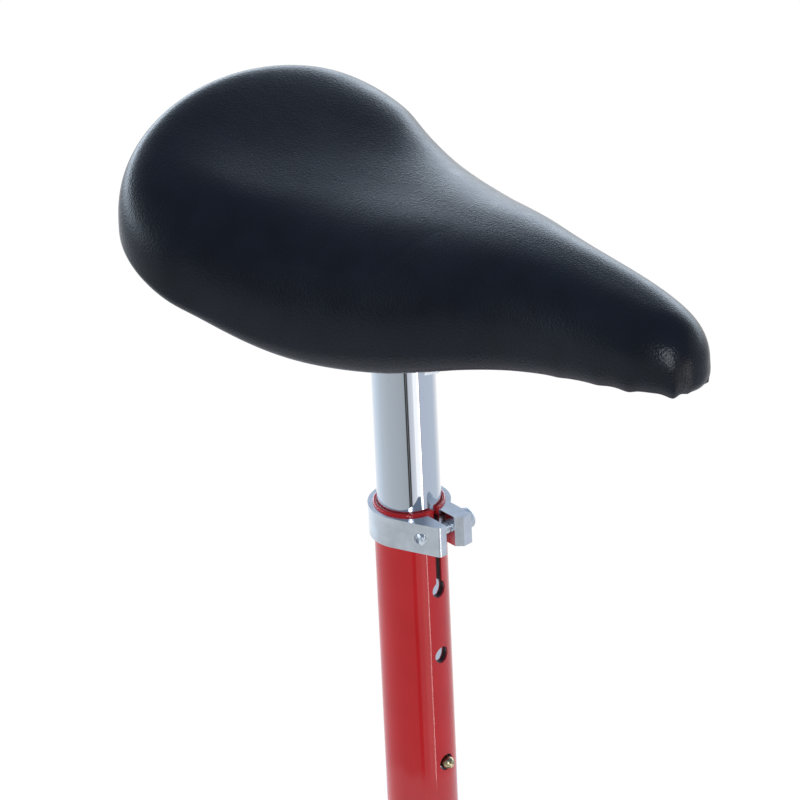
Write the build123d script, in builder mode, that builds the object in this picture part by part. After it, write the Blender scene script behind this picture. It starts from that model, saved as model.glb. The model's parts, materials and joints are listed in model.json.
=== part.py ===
from build123d import *
from math import atan2, cos, degrees, radians, sin
import os

# A 20 inch learner unicycle. +X is forward, +Y the rider's left, +Z up. The origin is
# where the tyre meets the ground. All lengths are in millimetres.

# ---- driving dimensions --------------------------------------------------------------------
TYRE_OUTER_R = 252.0          # 20 x 1.95 tyre
TYRE_SECTION_R = 24.5
TYRE_WALL = 4.0
BEAD_SEAT_R = 203.2           # 406 mm bead seat diameter
RIM_HALF_WIDTH = 15.6
SPOKE_COUNT = 36
SPOKE_R = 1.0
FLANGE_Y = 27.0               # hub flange, from the wheel's middle plane
FLANGE_HOLE_CIRCLE_R = 24.0
BEARING_Y = 50.0              # middle of each bearing, 100 mm apart
CRANK_LENGTH = 125.0
PEDAL_INNER_Y = 92.0
PEDAL_WIDTH = 92.0

TUBE_TOP_Z = 711.5            # rim of the seat tube
TUBE_BOTTOM_Z = 511.5
TUBE_R = 14.3                 # 28.6 mm seat tube
TUBE_BORE_R = 12.75
POST_R = 12.7                 # 25.4 mm seatpost
POST_WALL = 1.8
KEYHOLE_DROP = 36.5           # centre of the keyhole's round end, below the rim
FIRST_HOLE_DROP = 66.5
HOLE_PITCH = 50.0
HOLE_COUNT = 3
HOLE_R = 3.55
SLOT_WIDTH = 3.2

SADDLE_TAIL_X = -105.0
SADDLE_NOSE_X = 150.0
COVER_THICKNESS = 1.5
BASE_THICKNESS = 5.0
PLATE_THICKNESS = 3.0

# ---- derived places ------------------------------------------------------------------------
AXLE_Z = TYRE_OUTER_R
AXLE_LINE = Axis((0, 0, AXLE_Z), (0, 1, 0))
WHEEL_SECTION = Plane(origin=(0, 0, AXLE_Z), x_dir=(0, 1, 0), z_dir=(1, 0, 0))
BUTTON_Z = TUBE_TOP_Z - FIRST_HOLE_DROP - HOLE_PITCH
SIDES = {"left": 1, "right": -1}

os.makedirs("parts", exist_ok=True)


def save(piece, name):
    """Label a finished piece and write its STEP file."""
    piece.part.label = name
    export_step(piece.part, f"parts/{name}.step")


def across(y, z=AXLE_Z, x=0.0):
    """A plane square to the axle, facing the rider's left, at this y."""
    return Plane(origin=(x, y, z), x_dir=(1, 0, 0), z_dir=(0, 1, 0))


def ring_y(y_from, y_to, outer_r, inner_r=0.0, x=0.0, z=AXLE_Z):
    """Extrude a ring or disc along Y inside the open BuildPart."""
    with BuildSketch(across(y_from, z, x)) as ring:
        Circle(outer_r)
        if inner_r:
            Circle(inner_r, mode=Mode.SUBTRACT)
    extrude(ring.sketch, amount=y_to - y_from)


def bore_y(y_from, y_to, radius, x=0.0, z=AXLE_Z):
    """Cut a round hole along Y in the open BuildPart."""
    with BuildSketch(across(y_from, z, x)) as hole:
        Circle(radius)
    extrude(hole.sketch, amount=y_to - y_from, mode=Mode.SUBTRACT)


# ---- saddle --------------------------------------------------------------------------------
# Each station of the saddle is (x, half width, underside, crown), with the two heights
# measured from the seat tube's rim. The underside is highest at the tail and nose.
SADDLE_STATIONS = [
    (-105.0, 24.0, 115.0, 141.0),
    (-100.0, 45.0, 111.5, 150.0),
    (-90.0, 62.0, 107.0, 151.0),
    (-72.0, 72.5, 99.0, 145.5),
    (-50.0, 71.0, 91.0, 138.5),
    (-28.0, 64.0, 84.0, 134.5),
    (0.0, 57.0, 81.0, 133.0),
    (28.0, 49.0, 83.5, 133.5),
    (55.0, 39.0, 88.5, 134.0),
    (80.0, 30.0, 92.5, 133.0),
    (105.0, 25.0, 95.5, 130.0),
    (130.0, 19.5, 96.5, 126.0),
    (143.0, 14.0, 96.5, 122.0),
    (150.0, 8.0, 96.0, 115.0),
]
# The section's side, from the bottom edge up: share of the half width, share of the height.
BOTTOM_EDGE_SHARE = 0.92
PROFILE_KNEES = [(1.0, 0.17), (0.95, 0.52), (0.80, 0.77), (0.42, 0.96)]


def saddle_body(inset):
    """Loft the saddle's form, drawn in by inset all round, inside the open BuildPart."""
    middle_x = (SADDLE_TAIL_X + SADDLE_NOSE_X) / 2
    shrink = 1 - 2 * inset / (SADDLE_NOSE_X - SADDLE_TAIL_X)
    sections = []
    for x, half_width, under, crown in SADDLE_STATIONS:
        half = half_width - inset
        low = TUBE_TOP_Z + under + inset
        rise = crown - under - 2 * inset
        foot = half * BOTTOM_EDGE_SHARE
        near = [(half * across_share, low + rise * up_share) for across_share, up_share in PROFILE_KNEES]
        far = [(-y, z) for y, z in reversed(near)]
        with BuildSketch(Plane.YZ.offset(middle_x + (x - middle_x) * shrink)) as station:
            with BuildLine():
                Line((-foot, low), (foot, low))
                Spline((foot, low), *near, (0, low + rise), *far, (-foot, low))
            make_face()
        sections.append(station.sketch)
    loft(sections)


def saddle_band(lift_from, lift_to, mode):
    """Extrude the rocker-shaped band that lies between two heights over the underside."""
    lower = [(x, TUBE_TOP_Z + under + lift_from) for x, _, under, _ in SADDLE_STATIONS]
    upper = [(x, TUBE_TOP_Z + under + lift_to) for x, _, under, _ in SADDLE_STATIONS]
    with BuildSketch(Plane.XZ) as band:
        with BuildLine():
            Spline(*lower)
            Line(lower[-1], upper[-1])
            Spline(*reversed(upper))
            Line(upper[0], lower[0])
        make_face()
    extrude(band.sketch, amount=100, both=True, mode=mode)


PLATE_TOP_Z = TUBE_TOP_Z + 84.5
PLATE_LENGTH = 80.0
PLATE_WIDTH = 52.0
BOLT_SPACING_X = 62.0
BOLT_SPACING_Y = 38.0
BOLT_R = 3.0
BOLT_SHANK = 17.0
PAD_HEIGHT = 8.0
PAD_MARGIN = 1.0              # the pad reaches this far beyond the plate on each side
POCKET_CLEARANCE = 0.5
POCKET_DEPTH = 12.0
HEAD_R = 6.5
HEAD_HEIGHT = 3.0
WASHER_THICKNESS = 1.4
NUT_HEIGHT = 5.0

COVER_OPENING = [(-90, 0), (-83, 36), (-62, 54), (-30, 46), (20, 34), (70, 19), (122, 9), (134, 0)]
OPENING_FROM = 78.0
OPENING_RISE = 38.0

with BuildPart() as cover_core:
    saddle_body(COVER_THICKNESS)

with BuildPart() as saddle_cover:
    saddle_body(0.0)
    add(cover_core.part, mode=Mode.SUBTRACT)
    with BuildSketch(Plane.XY.offset(TUBE_TOP_Z + OPENING_FROM)):
        with BuildLine():
            Spline(*COVER_OPENING)
            mirror(about=Plane.XZ)
        make_face()
    extrude(amount=OPENING_RISE, mode=Mode.SUBTRACT)
save(saddle_cover, "saddle_cover")

with BuildPart() as saddle_base:
    saddle_body(COVER_THICKNESS)
    saddle_band(0.0, COVER_THICKNESS + BASE_THICKNESS, Mode.INTERSECT)
    with Locations((0, 0, PLATE_TOP_Z + PAD_HEIGHT / 2)):
        Box(PLATE_LENGTH + 2 * PAD_MARGIN, PLATE_WIDTH + 2 * PAD_MARGIN, PAD_HEIGHT)
    with Locations((0, 0, PLATE_TOP_Z - POCKET_DEPTH / 2)):
        Box(
            PLATE_LENGTH + 2 * POCKET_CLEARANCE,
            PLATE_WIDTH + 2 * POCKET_CLEARANCE,
            POCKET_DEPTH,
            mode=Mode.SUBTRACT,
        )
    with Locations((0, 0, PLATE_TOP_Z + PAD_HEIGHT)):
        with GridLocations(BOLT_SPACING_X, BOLT_SPACING_Y, 2, 2):
            CounterBoreHole(BOLT_R, HEAD_R, HEAD_HEIGHT)
save(saddle_base, "saddle_base")

with BuildPart() as saddle_foam:
    saddle_body(COVER_THICKNESS)
    saddle_band(-20.0, COVER_THICKNESS + BASE_THICKNESS, Mode.SUBTRACT)
    with Locations((0, 0, PLATE_TOP_Z + PAD_HEIGHT / 2)):
        Box(
            PLATE_LENGTH + 2 * PAD_MARGIN,
            PLATE_WIDTH + 2 * PAD_MARGIN,
            PAD_HEIGHT,
            mode=Mode.SUBTRACT,
        )
save(saddle_foam, "saddle_foam")

with BuildPart() as seatpost_plate:
    with Locations((0, 0, PLATE_TOP_Z - PLATE_THICKNESS / 2)):
        Box(PLATE_LENGTH, PLATE_WIDTH, PLATE_THICKNESS)
    fillet(seatpost_plate.edges().filter_by(Axis.Z), 9)
    with BuildSketch(Plane.XY.offset(PLATE_TOP_Z)):
        with GridLocations(BOLT_SPACING_X, BOLT_SPACING_Y, 2, 2):
            SlotOverall(10, 2 * BOLT_R + 0.4)
    extrude(amount=-PLATE_THICKNESS, mode=Mode.SUBTRACT)
save(seatpost_plate, "seatpost_plate")

PLATE_BOTTOM_Z = PLATE_TOP_Z - PLATE_THICKNESS
with BuildPart() as saddle_bolts:
    with Locations((0, 0, PLATE_TOP_Z + PAD_HEIGHT)):
        with GridLocations(BOLT_SPACING_X, BOLT_SPACING_Y, 2, 2):
            Cylinder(HEAD_R, HEAD_HEIGHT, align=(Align.CENTER, Align.CENTER, Align.MAX))
    with Locations((0, 0, PLATE_TOP_Z + PAD_HEIGHT - HEAD_HEIGHT)):
        with GridLocations(BOLT_SPACING_X, BOLT_SPACING_Y, 2, 2):
            Cylinder(BOLT_R, BOLT_SHANK, align=(Align.CENTER, Align.CENTER, Align.MAX))
save(saddle_bolts, "saddle_bolts")

with BuildPart() as saddle_washers:
    with BuildSketch(Plane.XY.offset(PLATE_BOTTOM_Z)):
        with GridLocations(BOLT_SPACING_X, BOLT_SPACING_Y, 2, 2):
            Circle(7.0)
            Circle(BOLT_R + 0.2, mode=Mode.SUBTRACT)
    extrude(amount=-WASHER_THICKNESS)
save(saddle_washers, "saddle_washers")

with BuildPart() as saddle_nuts:
    with BuildSketch(Plane.XY.offset(PLATE_BOTTOM_Z - WASHER_THICKNESS)):
        with GridLocations(BOLT_SPACING_X, BOLT_SPACING_Y, 2, 2):
            RegularPolygon(5.7, 6)
            Circle(BOLT_R, mode=Mode.SUBTRACT)
    extrude(amount=-NUT_HEIGHT)
save(saddle_nuts, "saddle_nuts")


def underside(x):
    """Height of the cover's underside over the rim at x, by straight runs between stations."""
    for (x0, _, low0, _), (x1, _, low1, _) in zip(SADDLE_STATIONS, SADDLE_STATIONS[1:]):
        if x <= x1:
            return low0 + (low1 - low0) * (x - x0) / (x1 - x0), atan2(low1 - low0, x1 - x0)
    return SADDLE_STATIONS[-1][2], 0.0


STAPLE_LENGTH = 9.0
STAPLE_WIRE = 0.6
STAPLE_DROP = 1.2             # the crowns lie just under the cover's turned-in edge
STAPLE_PLACES = [
    (-96, 16),
    (-88, 40),
    (-66, 57),
    (-38, 54),
    (-8, 47),
    (24, 39),
    (52, 30),
    (80, 21),
    (106, 16),
    (128, 11),
]
with BuildPart() as cover_staples:
    for x, y in STAPLE_PLACES:
        drop, slope = underside(x)
        for side in SIDES.values():
            place = Location((x, side * y, TUBE_TOP_Z + drop - STAPLE_DROP), (0, -degrees(slope), 0))
            with Locations(place):
                Box(1.2, STAPLE_LENGTH, STAPLE_WIRE)
save(cover_staples, "cover_staples")

# ---- seatpost with its spring button -------------------------------------------------------
POST_END_Z = BUTTON_Z - 30
BUTTON_R = 2.5
BUTTON_DOME_X = 15.0          # centre of the button's round end
BUTTON_FLANGE_X = 8.8         # back face of the button's flange
BUTTON_FLANGE_R = 4.2
BUTTON_FLANGE_THICKNESS = 1.0
BUTTON_CLEARANCE = 0.08

with BuildPart() as seatpost:
    with BuildSketch(Plane.XY.offset(POST_END_Z)):
        Circle(POST_R)
        Circle(POST_R - POST_WALL, mode=Mode.SUBTRACT)
    extrude(amount=PLATE_BOTTOM_Z - POST_END_Z)
    chamfer(seatpost.edges().group_by(Axis.Z)[0], 0.5)
    with BuildSketch(Plane.YZ):
        with Locations((0, BUTTON_Z)):
            Circle(BUTTON_R + BUTTON_CLEARANCE)
    extrude(amount=POST_R + 1, mode=Mode.SUBTRACT)
save(seatpost, "seatpost")

with BuildPart() as snap_button:
    with BuildSketch(Plane.YZ.offset(BUTTON_FLANGE_X)):
        with Locations((0, BUTTON_Z)):
            Circle(BUTTON_FLANGE_R)
    extrude(amount=BUTTON_FLANGE_THICKNESS)
    with BuildSketch(Plane.YZ.offset(BUTTON_FLANGE_X + BUTTON_FLANGE_THICKNESS)):
        with Locations((0, BUTTON_Z)):
            Circle(BUTTON_R)
    extrude(amount=BUTTON_DOME_X - BUTTON_FLANGE_X - BUTTON_FLANGE_THICKNESS)
    with Locations((BUTTON_DOME_X, 0, BUTTON_Z)):
        Sphere(BUTTON_R)
save(snap_button, "snap_button")

SPRING_THICKNESS = 0.6
SPRING_WIDTH = 6.0
with BuildPart() as snap_button_spring:
    with BuildSketch(Plane.XZ):
        with BuildLine():
            FilletPolyline(
                (BUTTON_FLANGE_X - SPRING_THICKNESS / 2, BUTTON_Z + 5),
                (BUTTON_FLANGE_X - SPRING_THICKNESS / 2, BUTTON_Z - 5),
                (1.5, BUTTON_Z - 27),
                (-8.5, BUTTON_Z - 27),
                (-9.6, BUTTON_Z + 4),
                radius=3,
            )
        trace(line_width=SPRING_THICKNESS)
    extrude(amount=SPRING_WIDTH / 2, both=True)
save(snap_button_spring, "snap_button_spring")

# ---- seat tube and clamp -------------------------------------------------------------------
with BuildPart() as frame_tube:
    with BuildSketch(Plane.XY.offset(TUBE_BOTTOM_Z)):
        Circle(TUBE_R)
        Circle(TUBE_BORE_R, mode=Mode.SUBTRACT)
    extrude(amount=TUBE_TOP_Z - TUBE_BOTTOM_Z)
    fillet(frame_tube.edges().group_by(Axis.Z)[-1], 0.6)
    with BuildSketch(Plane.YZ):
        with Locations((0, TUBE_TOP_Z - KEYHOLE_DROP)):
            Circle(HOLE_R)
        with Locations((0, TUBE_TOP_Z - KEYHOLE_DROP / 2 + 1)):
            Rectangle(SLOT_WIDTH, KEYHOLE_DROP + 2)
        for hole in range(HOLE_COUNT):
            with Locations((0, TUBE_TOP_Z - FIRST_HOLE_DROP - hole * HOLE_PITCH)):
                Circle(HOLE_R)
    extrude(amount=TUBE_R + 1, mode=Mode.SUBTRACT)
save(frame_tube, "frame_tube")

CLAMP_TOP_Z = TUBE_TOP_Z - 1
CLAMP_HEIGHT = 13.0
CLAMP_OUTER_R = 16.4
CLAMP_TURN = -7.0             # the collar's gap sits this many degrees off the slot
CLAMP_GAP = 6.6
NEAR_EAR_TANGENT = (6.4, -15.1)
NEAR_EAR_TIP = (25.8, -6.8)
FAR_EAR_TIP_U = 25.5
FAR_EAR_OUTER_V = 10.2
CLAMP_BOLT_U = 18.0
CLAMP_BOLT_R = 2.5
CLAMP_HEAD_R = 4.25
CLAMP_HEAD_HEIGHT = 5.0
CLAMP_TOP = Plane.XY.offset(CLAMP_TOP_Z).rotated((0, 0, CLAMP_TURN))
CLAMP_BOLT_LINE = Plane(
    origin=CLAMP_TOP.from_local_coords((CLAMP_BOLT_U, 0, -CLAMP_HEIGHT / 2)),
    x_dir=CLAMP_TOP.x_dir,
    z_dir=CLAMP_TOP.y_dir,
)

with BuildPart() as seat_clamp:
    with BuildSketch(CLAMP_TOP):
        Circle(CLAMP_OUTER_R)
        with BuildLine():
            Polyline((0, -2), NEAR_EAR_TANGENT, NEAR_EAR_TIP, (NEAR_EAR_TIP[0], -2), close=True)
        make_face()
        with BuildLine():
            Polyline(
                (0, 2),
                (FAR_EAR_TIP_U - 2.4, 2),
                (FAR_EAR_TIP_U - 2.4, 3.5),
                (FAR_EAR_TIP_U, 5.9),
                (FAR_EAR_TIP_U - 0.3, FAR_EAR_OUTER_V),
                (0, FAR_EAR_OUTER_V),
                close=True,
            )
        make_face()
        Circle(TUBE_R, mode=Mode.SUBTRACT)
        with Locations((20, 0)):
            Rectangle(40, CLAMP_GAP, mode=Mode.SUBTRACT)
    extrude(amount=-CLAMP_HEIGHT)
    near_tip = seat_clamp.edges().filter_by(Axis.Z).sort_by(Axis.X)[-4:].sort_by(Axis.Y)[0]
    fillet(near_tip, 1.4)
    with BuildSketch(CLAMP_BOLT_LINE):
        Circle(CLAMP_BOLT_R + 0.25)
    extrude(amount=20, mode=Mode.SUBTRACT)
    with BuildSketch(CLAMP_BOLT_LINE):
        Circle(CLAMP_BOLT_R)
    extrude(amount=-20, mode=Mode.SUBTRACT)
save(seat_clamp, "seat_clamp")

with BuildPart() as clamp_bolt:
    with BuildSketch(CLAMP_BOLT_LINE.offset(FAR_EAR_OUTER_V)):
        Circle(CLAMP_HEAD_R)
    extrude(amount=CLAMP_HEAD_HEIGHT)
    fillet(clamp_bolt.edges().filter_by(GeomType.CIRCLE).sort_by(Axis.Y)[-1], 0.5)
    with BuildSketch(CLAMP_BOLT_LINE.offset(FAR_EAR_OUTER_V + CLAMP_HEAD_HEIGHT)):
        RegularPolygon(2.3, 6)
    extrude(amount=-3, mode=Mode.SUBTRACT)
    with BuildSketch(CLAMP_BOLT_LINE.offset(FAR_EAR_OUTER_V)):
        Circle(CLAMP_BOLT_R)
    extrude(amount=-FAR_EAR_OUTER_V - 9.6)
save(clamp_bolt, "clamp_bolt")

# ---- fork blades and bearing holders -------------------------------------------------------
BLADE_R = 11.0
BLADE_WALL = 1.6
SHOULDER_Z = 526.0            # height of the blades' level run into the seat tube
SHOULDER_BEND_R = 32.0
BEARING_OUTER_R = 20.0
BEARING_BORE_R = 8.5
BEARING_WIDTH = 12.0
HOLDER_WIDTH = 14.0
HOLDER_R = 25.0
EAR_REACH = 37.0
EAR_HEIGHT = 8.0
CAP_BOLT_X = 30.5
CAP_BOLT_R = 3.0


def fork_blade(name, side):
    """One leg: straight up from its bearing holder, then bent in to the seat tube."""
    with BuildPart() as blade:
        with BuildLine() as route:
            FilletPolyline(
                (0, side * BEARING_Y, AXLE_Z + 10),
                (0, side * BEARING_Y, SHOULDER_Z),
                (0, 0, SHOULDER_Z),
                radius=SHOULDER_BEND_R,
            )
        with BuildSketch(Plane(origin=route.line @ 0, z_dir=route.line % 0)):
            Circle(BLADE_R)
            Circle(BLADE_R - BLADE_WALL, mode=Mode.SUBTRACT)
        sweep()
        bore_y(side * BEARING_Y - 30, side * BEARING_Y + 30, HOLDER_R)
        with BuildSketch(Plane.XY.offset(TUBE_BOTTOM_Z - 5)):
            Circle(TUBE_R)
        extrude(amount=60, mode=Mode.SUBTRACT)
    save(blade, name)


def holder_half(name, side, up):
    """Half of a bearing holder: a half ring with two bolt ears, above or below the split."""
    with BuildPart() as holder:
        y_from = side * BEARING_Y - HOLDER_WIDTH / 2
        with BuildSketch(across(y_from)):
            Circle(HOLDER_R)
            Rectangle(2 * EAR_REACH, 2 * EAR_HEIGHT)
            Circle(BEARING_OUTER_R, mode=Mode.SUBTRACT)
        extrude(amount=HOLDER_WIDTH)
        split(bisect_by=Plane.XY.offset(AXLE_Z), keep=Keep.TOP if up else Keep.BOTTOM)
        fillet(holder.edges().filter_by(Axis.Z), 4)
        with Locations((0, side * BEARING_Y, AXLE_Z)):
            with GridLocations(2 * CAP_BOLT_X, 1, 2, 1):
                Cylinder(CAP_BOLT_R if up else CAP_BOLT_R + 0.3, 40, mode=Mode.SUBTRACT)
    save(holder, name)


for side_name, side in SIDES.items():
    fork_blade(f"{side_name}_fork_blade", side)
    holder_half(f"{side_name}_bearing_housing", side, True)
    holder_half(f"{side_name}_bearing_cap", side, False)

with BuildPart() as bearing_cap_bolts:
    with Locations((0, 0, AXLE_Z - EAR_HEIGHT)):
        with GridLocations(2 * CAP_BOLT_X, 2 * BEARING_Y, 2, 2):
            Cylinder(CAP_BOLT_R, 2 * EAR_HEIGHT - 1, align=(Align.CENTER, Align.CENTER, Align.MIN))
            Cylinder(5.0, 6.0, align=(Align.CENTER, Align.CENTER, Align.MAX))
    with BuildSketch(Plane.XY.offset(AXLE_Z - EAR_HEIGHT - 6)):
        with GridLocations(2 * CAP_BOLT_X, 2 * BEARING_Y, 2, 2):
            RegularPolygon(2.9, 6)
    extrude(amount=3.5, mode=Mode.SUBTRACT)
save(bearing_cap_bolts, "bearing_cap_bolts")

# ---- bearings ------------------------------------------------------------------------------
BALL_R = 3.35
BALL_CIRCLE_R = 14.25
BALL_COUNT = 8
GROOVE_R = 3.42
INNER_RACE_R = 12.3
OUTER_RACE_BORE_R = 16.2


def bearing_ring(name, side, outer_r, inner_r):
    """One race of a deep-groove ball bearing."""
    with BuildPart() as race:
        middle = side * BEARING_Y
        ring_y(middle - BEARING_WIDTH / 2, middle + BEARING_WIDTH / 2, outer_r, inner_r)
        chamfer(race.edges().filter_by(GeomType.CIRCLE), 0.3)
        with BuildSketch(WHEEL_SECTION):
            with Locations((middle, BALL_CIRCLE_R)):
                Circle(GROOVE_R)
        revolve(axis=AXLE_LINE, mode=Mode.SUBTRACT)
    save(race, name)


def bearing(side_name, side):
    """Races, balls and the two seals of one bearing."""
    middle = side * BEARING_Y
    bearing_ring(f"{side_name}_outer_race", side, BEARING_OUTER_R, OUTER_RACE_BORE_R)
    bearing_ring(f"{side_name}_inner_race", side, INNER_RACE_R, BEARING_BORE_R)
    with BuildPart() as balls:
        with Locations(across(middle).location):
            with PolarLocations(BALL_CIRCLE_R, BALL_COUNT):
                Sphere(BALL_R)
    save(balls, f"{side_name}_bearing_balls")
    with BuildPart() as seals:
        for face in (-1, 1):
            edge = middle + face * (BEARING_WIDTH / 2 - 1.3)
            ring_y(edge, edge + face * 0.9, OUTER_RACE_BORE_R, INNER_RACE_R + 0.15)
    save(seals, f"{side_name}_bearing_seals")


for side_name, side in SIDES.items():
    bearing(side_name, side)

# ---- axle, hub and spokes ------------------------------------------------------------------
HUB_BORE_R = 10.0
TAPER_START_Y = 60.0
TAPER_END_Y = 77.0
TAPER_START_FLAT = 14.0
TAPER_END_FLAT = 12.8
CRANK_BOLT_R = 4.0
CRANK_BOLT_DEPTH = 20.0


def square_taper(side, mode):
    """The square tapered end of the axle, as a solid or as the crank's hole."""
    with BuildSketch(across(side * TAPER_START_Y)) as wide_end:
        Rectangle(TAPER_START_FLAT, TAPER_START_FLAT)
    with BuildSketch(across(side * TAPER_END_Y)) as narrow_end:
        Rectangle(TAPER_END_FLAT, TAPER_END_FLAT)
    loft([wide_end.sketch, narrow_end.sketch], mode=mode)


with BuildPart() as axle:
    ring_y(-BEARING_Y + BEARING_WIDTH / 2 + 4, BEARING_Y - BEARING_WIDTH / 2 - 4, HUB_BORE_R)
    ring_y(-TAPER_START_Y, TAPER_START_Y, BEARING_BORE_R)
    for side in SIDES.values():
        square_taper(side, Mode.ADD)
        bore_y(side * (TAPER_END_Y - CRANK_BOLT_DEPTH), side * (TAPER_END_Y + 1), CRANK_BOLT_R)
save(axle, "axle")

HUB_END_Y = 36.0
FLANGE_R = 29.0
FLANGE_THICKNESS = 3.2
SPOKE_HOLE_R = 1.3
RIM_FLOOR_R = 198.8
RIM_INNER_R = 196.8
SPOKE_SET_TURN = 5.0          # keeps the valve midway between two spokes
SPOKES_PER_FLANGE = SPOKE_COUNT // 2
FLANGE_PITCH = 360 / SPOKES_PER_FLANGE
CROSS_TURN = 3 * FLANGE_PITCH  # three-cross lacing
SPOKE_SETS = SPOKE_COUNT // 4
SPOKE_FLAT_RUN = 13.0         # a spoke lies against its flange this far, then turns to the rim

with BuildPart() as hub_shell:
    with BuildSketch(WHEEL_SECTION):
        with BuildLine():
            Polyline(
                (-HUB_END_Y, HUB_BORE_R),
                (-HUB_END_Y, 15),
                (-FLANGE_Y - FLANGE_THICKNESS / 2 - 1.5, 17),
                (-FLANGE_Y - FLANGE_THICKNESS / 2, FLANGE_R - 8),
                (-FLANGE_Y - FLANGE_THICKNESS / 2, FLANGE_R),
                (-FLANGE_Y + FLANGE_THICKNESS / 2, FLANGE_R),
                (-FLANGE_Y + FLANGE_THICKNESS / 2, FLANGE_R - 8),
                (-FLANGE_Y + 6, 16.5),
                (0, 15.5),
                (0, HUB_BORE_R),
                close=True,
            )
        make_face()
        mirror(about=Plane.YZ)
    revolve(axis=AXLE_LINE)
    for side in SIDES.values():
        turn = SPOKE_SET_TURN + (FLANGE_PITCH / 2 if side < 0 else 0)
        with BuildSketch(across(side * FLANGE_Y - 5)):
            with PolarLocations(FLANGE_HOLE_CIRCLE_R, SPOKES_PER_FLANGE, start_angle=turn):
                Circle(SPOKE_HOLE_R)
        extrude(amount=10, mode=Mode.SUBTRACT)
save(hub_shell, "hub_shell")


def wheel_point(angle, radius, y):
    """A point at this angle round the axle, seen from the rider's left."""
    return Vector(radius * cos(radians(angle)), y, AXLE_Z - radius * sin(radians(angle)))


def spoke_routes():
    """The first four spokes, from hub hole past the flange's edge to the rim."""
    ends = []
    for side in SIDES.values():
        first = SPOKE_SET_TURN + (FLANGE_PITCH / 2 if side < 0 else 0)
        for place in (0, 1):
            outside = 1 if place == 0 else -1
            hub_angle = first + place * FLANGE_PITCH
            rim_angle = hub_angle + outside * CROSS_TURN
            lay_y = side * (FLANGE_Y + outside * (FLANGE_THICKNESS / 2 + SPOKE_R))
            back_y = side * (FLANGE_Y - outside * (FLANGE_THICKNESS / 2))
            hub_point = wheel_point(hub_angle, FLANGE_HOLE_CIRCLE_R, lay_y)
            rim_point = wheel_point(rim_angle, RIM_FLOOR_R, side * 2.5)
            in_plane = Vector(rim_point.X - hub_point.X, 0, rim_point.Z - hub_point.Z).normalized()
            edge_point = hub_point + in_plane * SPOKE_FLAT_RUN
            ends.append((hub_point, edge_point, rim_point, back_y, side * outside))
    return ends


def round_wheel(group):
    """Repeat a group of four round the axle, inside the open BuildPart."""
    with Locations(across(0).location):
        with PolarLocations(0, SPOKE_SETS):
            add(across(0).to_local_coords(group), mode=Mode.ADD)


NIPPLE_LENGTH = 14.0
NIPPLE_R = 1.95
NIPPLE_HEAD_R = 2.9
NIPPLE_HEAD_HEIGHT = 1.5
NIPPLE_HEAD_LIFT = 0.6        # the slanted head clears the rim's floor

with BuildPart() as four_spokes:
    for hub_point, edge_point, rim_point, back_y, outward in spoke_routes():
        for start, end in ((hub_point, edge_point), (edge_point, rim_point)):
            with BuildSketch(Plane(origin=start, z_dir=end - start)):
                Circle(SPOKE_R)
            extrude(amount=(end - start).length)
            with Locations(start):
                Sphere(SPOKE_R)
        ring_y(hub_point.Y, back_y, SPOKE_R, x=hub_point.X, z=hub_point.Z)
        ring_y(back_y, back_y - outward * 1.2, 1.9, x=hub_point.X, z=hub_point.Z)

with BuildPart() as four_nipples:
    for _, edge_point, rim_point, _, _ in spoke_routes():
        inward = (edge_point - rim_point).normalized()
        head_base = rim_point - inward * NIPPLE_HEAD_LIFT
        with BuildSketch(Plane(origin=head_base, z_dir=inward)):
            Circle(NIPPLE_R)
        extrude(amount=NIPPLE_LENGTH)
        with BuildSketch(Plane(origin=head_base, z_dir=-inward)):
            Circle(NIPPLE_HEAD_R)
        extrude(amount=NIPPLE_HEAD_HEIGHT)
        with BuildSketch(Plane(origin=rim_point, z_dir=inward)):
            Circle(SPOKE_R)
        extrude(amount=NIPPLE_LENGTH, mode=Mode.SUBTRACT)

with BuildPart() as spokes:
    round_wheel(four_spokes.part)
save(spokes, "spokes")

with BuildPart() as spoke_nipples:
    round_wheel(four_nipples.part)
save(spoke_nipples, "spoke_nipples")

with BuildPart() as bearing_spacers:
    for side in SIDES.values():
        ring_y(side * HUB_END_Y, side * (BEARING_Y - BEARING_WIDTH / 2 - 4), 12.0, HUB_BORE_R)
        ring_y(
            side * (BEARING_Y - BEARING_WIDTH / 2 - 4),
            side * (BEARING_Y - BEARING_WIDTH / 2),
            12.0,
            BEARING_BORE_R,
        )
save(bearing_spacers, "bearing_spacers")

# ---- rim, tyre and valve -------------------------------------------------------------------
VALVE_R = 4.0
VALVE_TIP_R = 164.0
TUBE_CENTRE_R = TYRE_OUTER_R - TYRE_SECTION_R
AIR_TUBE_R = TYRE_SECTION_R - TYRE_WALL - 0.35
BEAD_TOP_R = 212.5

NIPPLE_HOLE_R = NIPPLE_R + 0.1
NIPPLE_HOLE_DEPTH = 8.0

with BuildPart() as four_drills:
    for _, edge_point, rim_point, _, _ in spoke_routes():
        inward = (edge_point - rim_point).normalized()
        with BuildSketch(Plane(origin=rim_point - inward * 2, z_dir=inward)):
            Circle(NIPPLE_HOLE_R)
        extrude(amount=NIPPLE_HOLE_DEPTH)

with BuildPart() as drills:
    round_wheel(four_drills.part)

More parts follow.
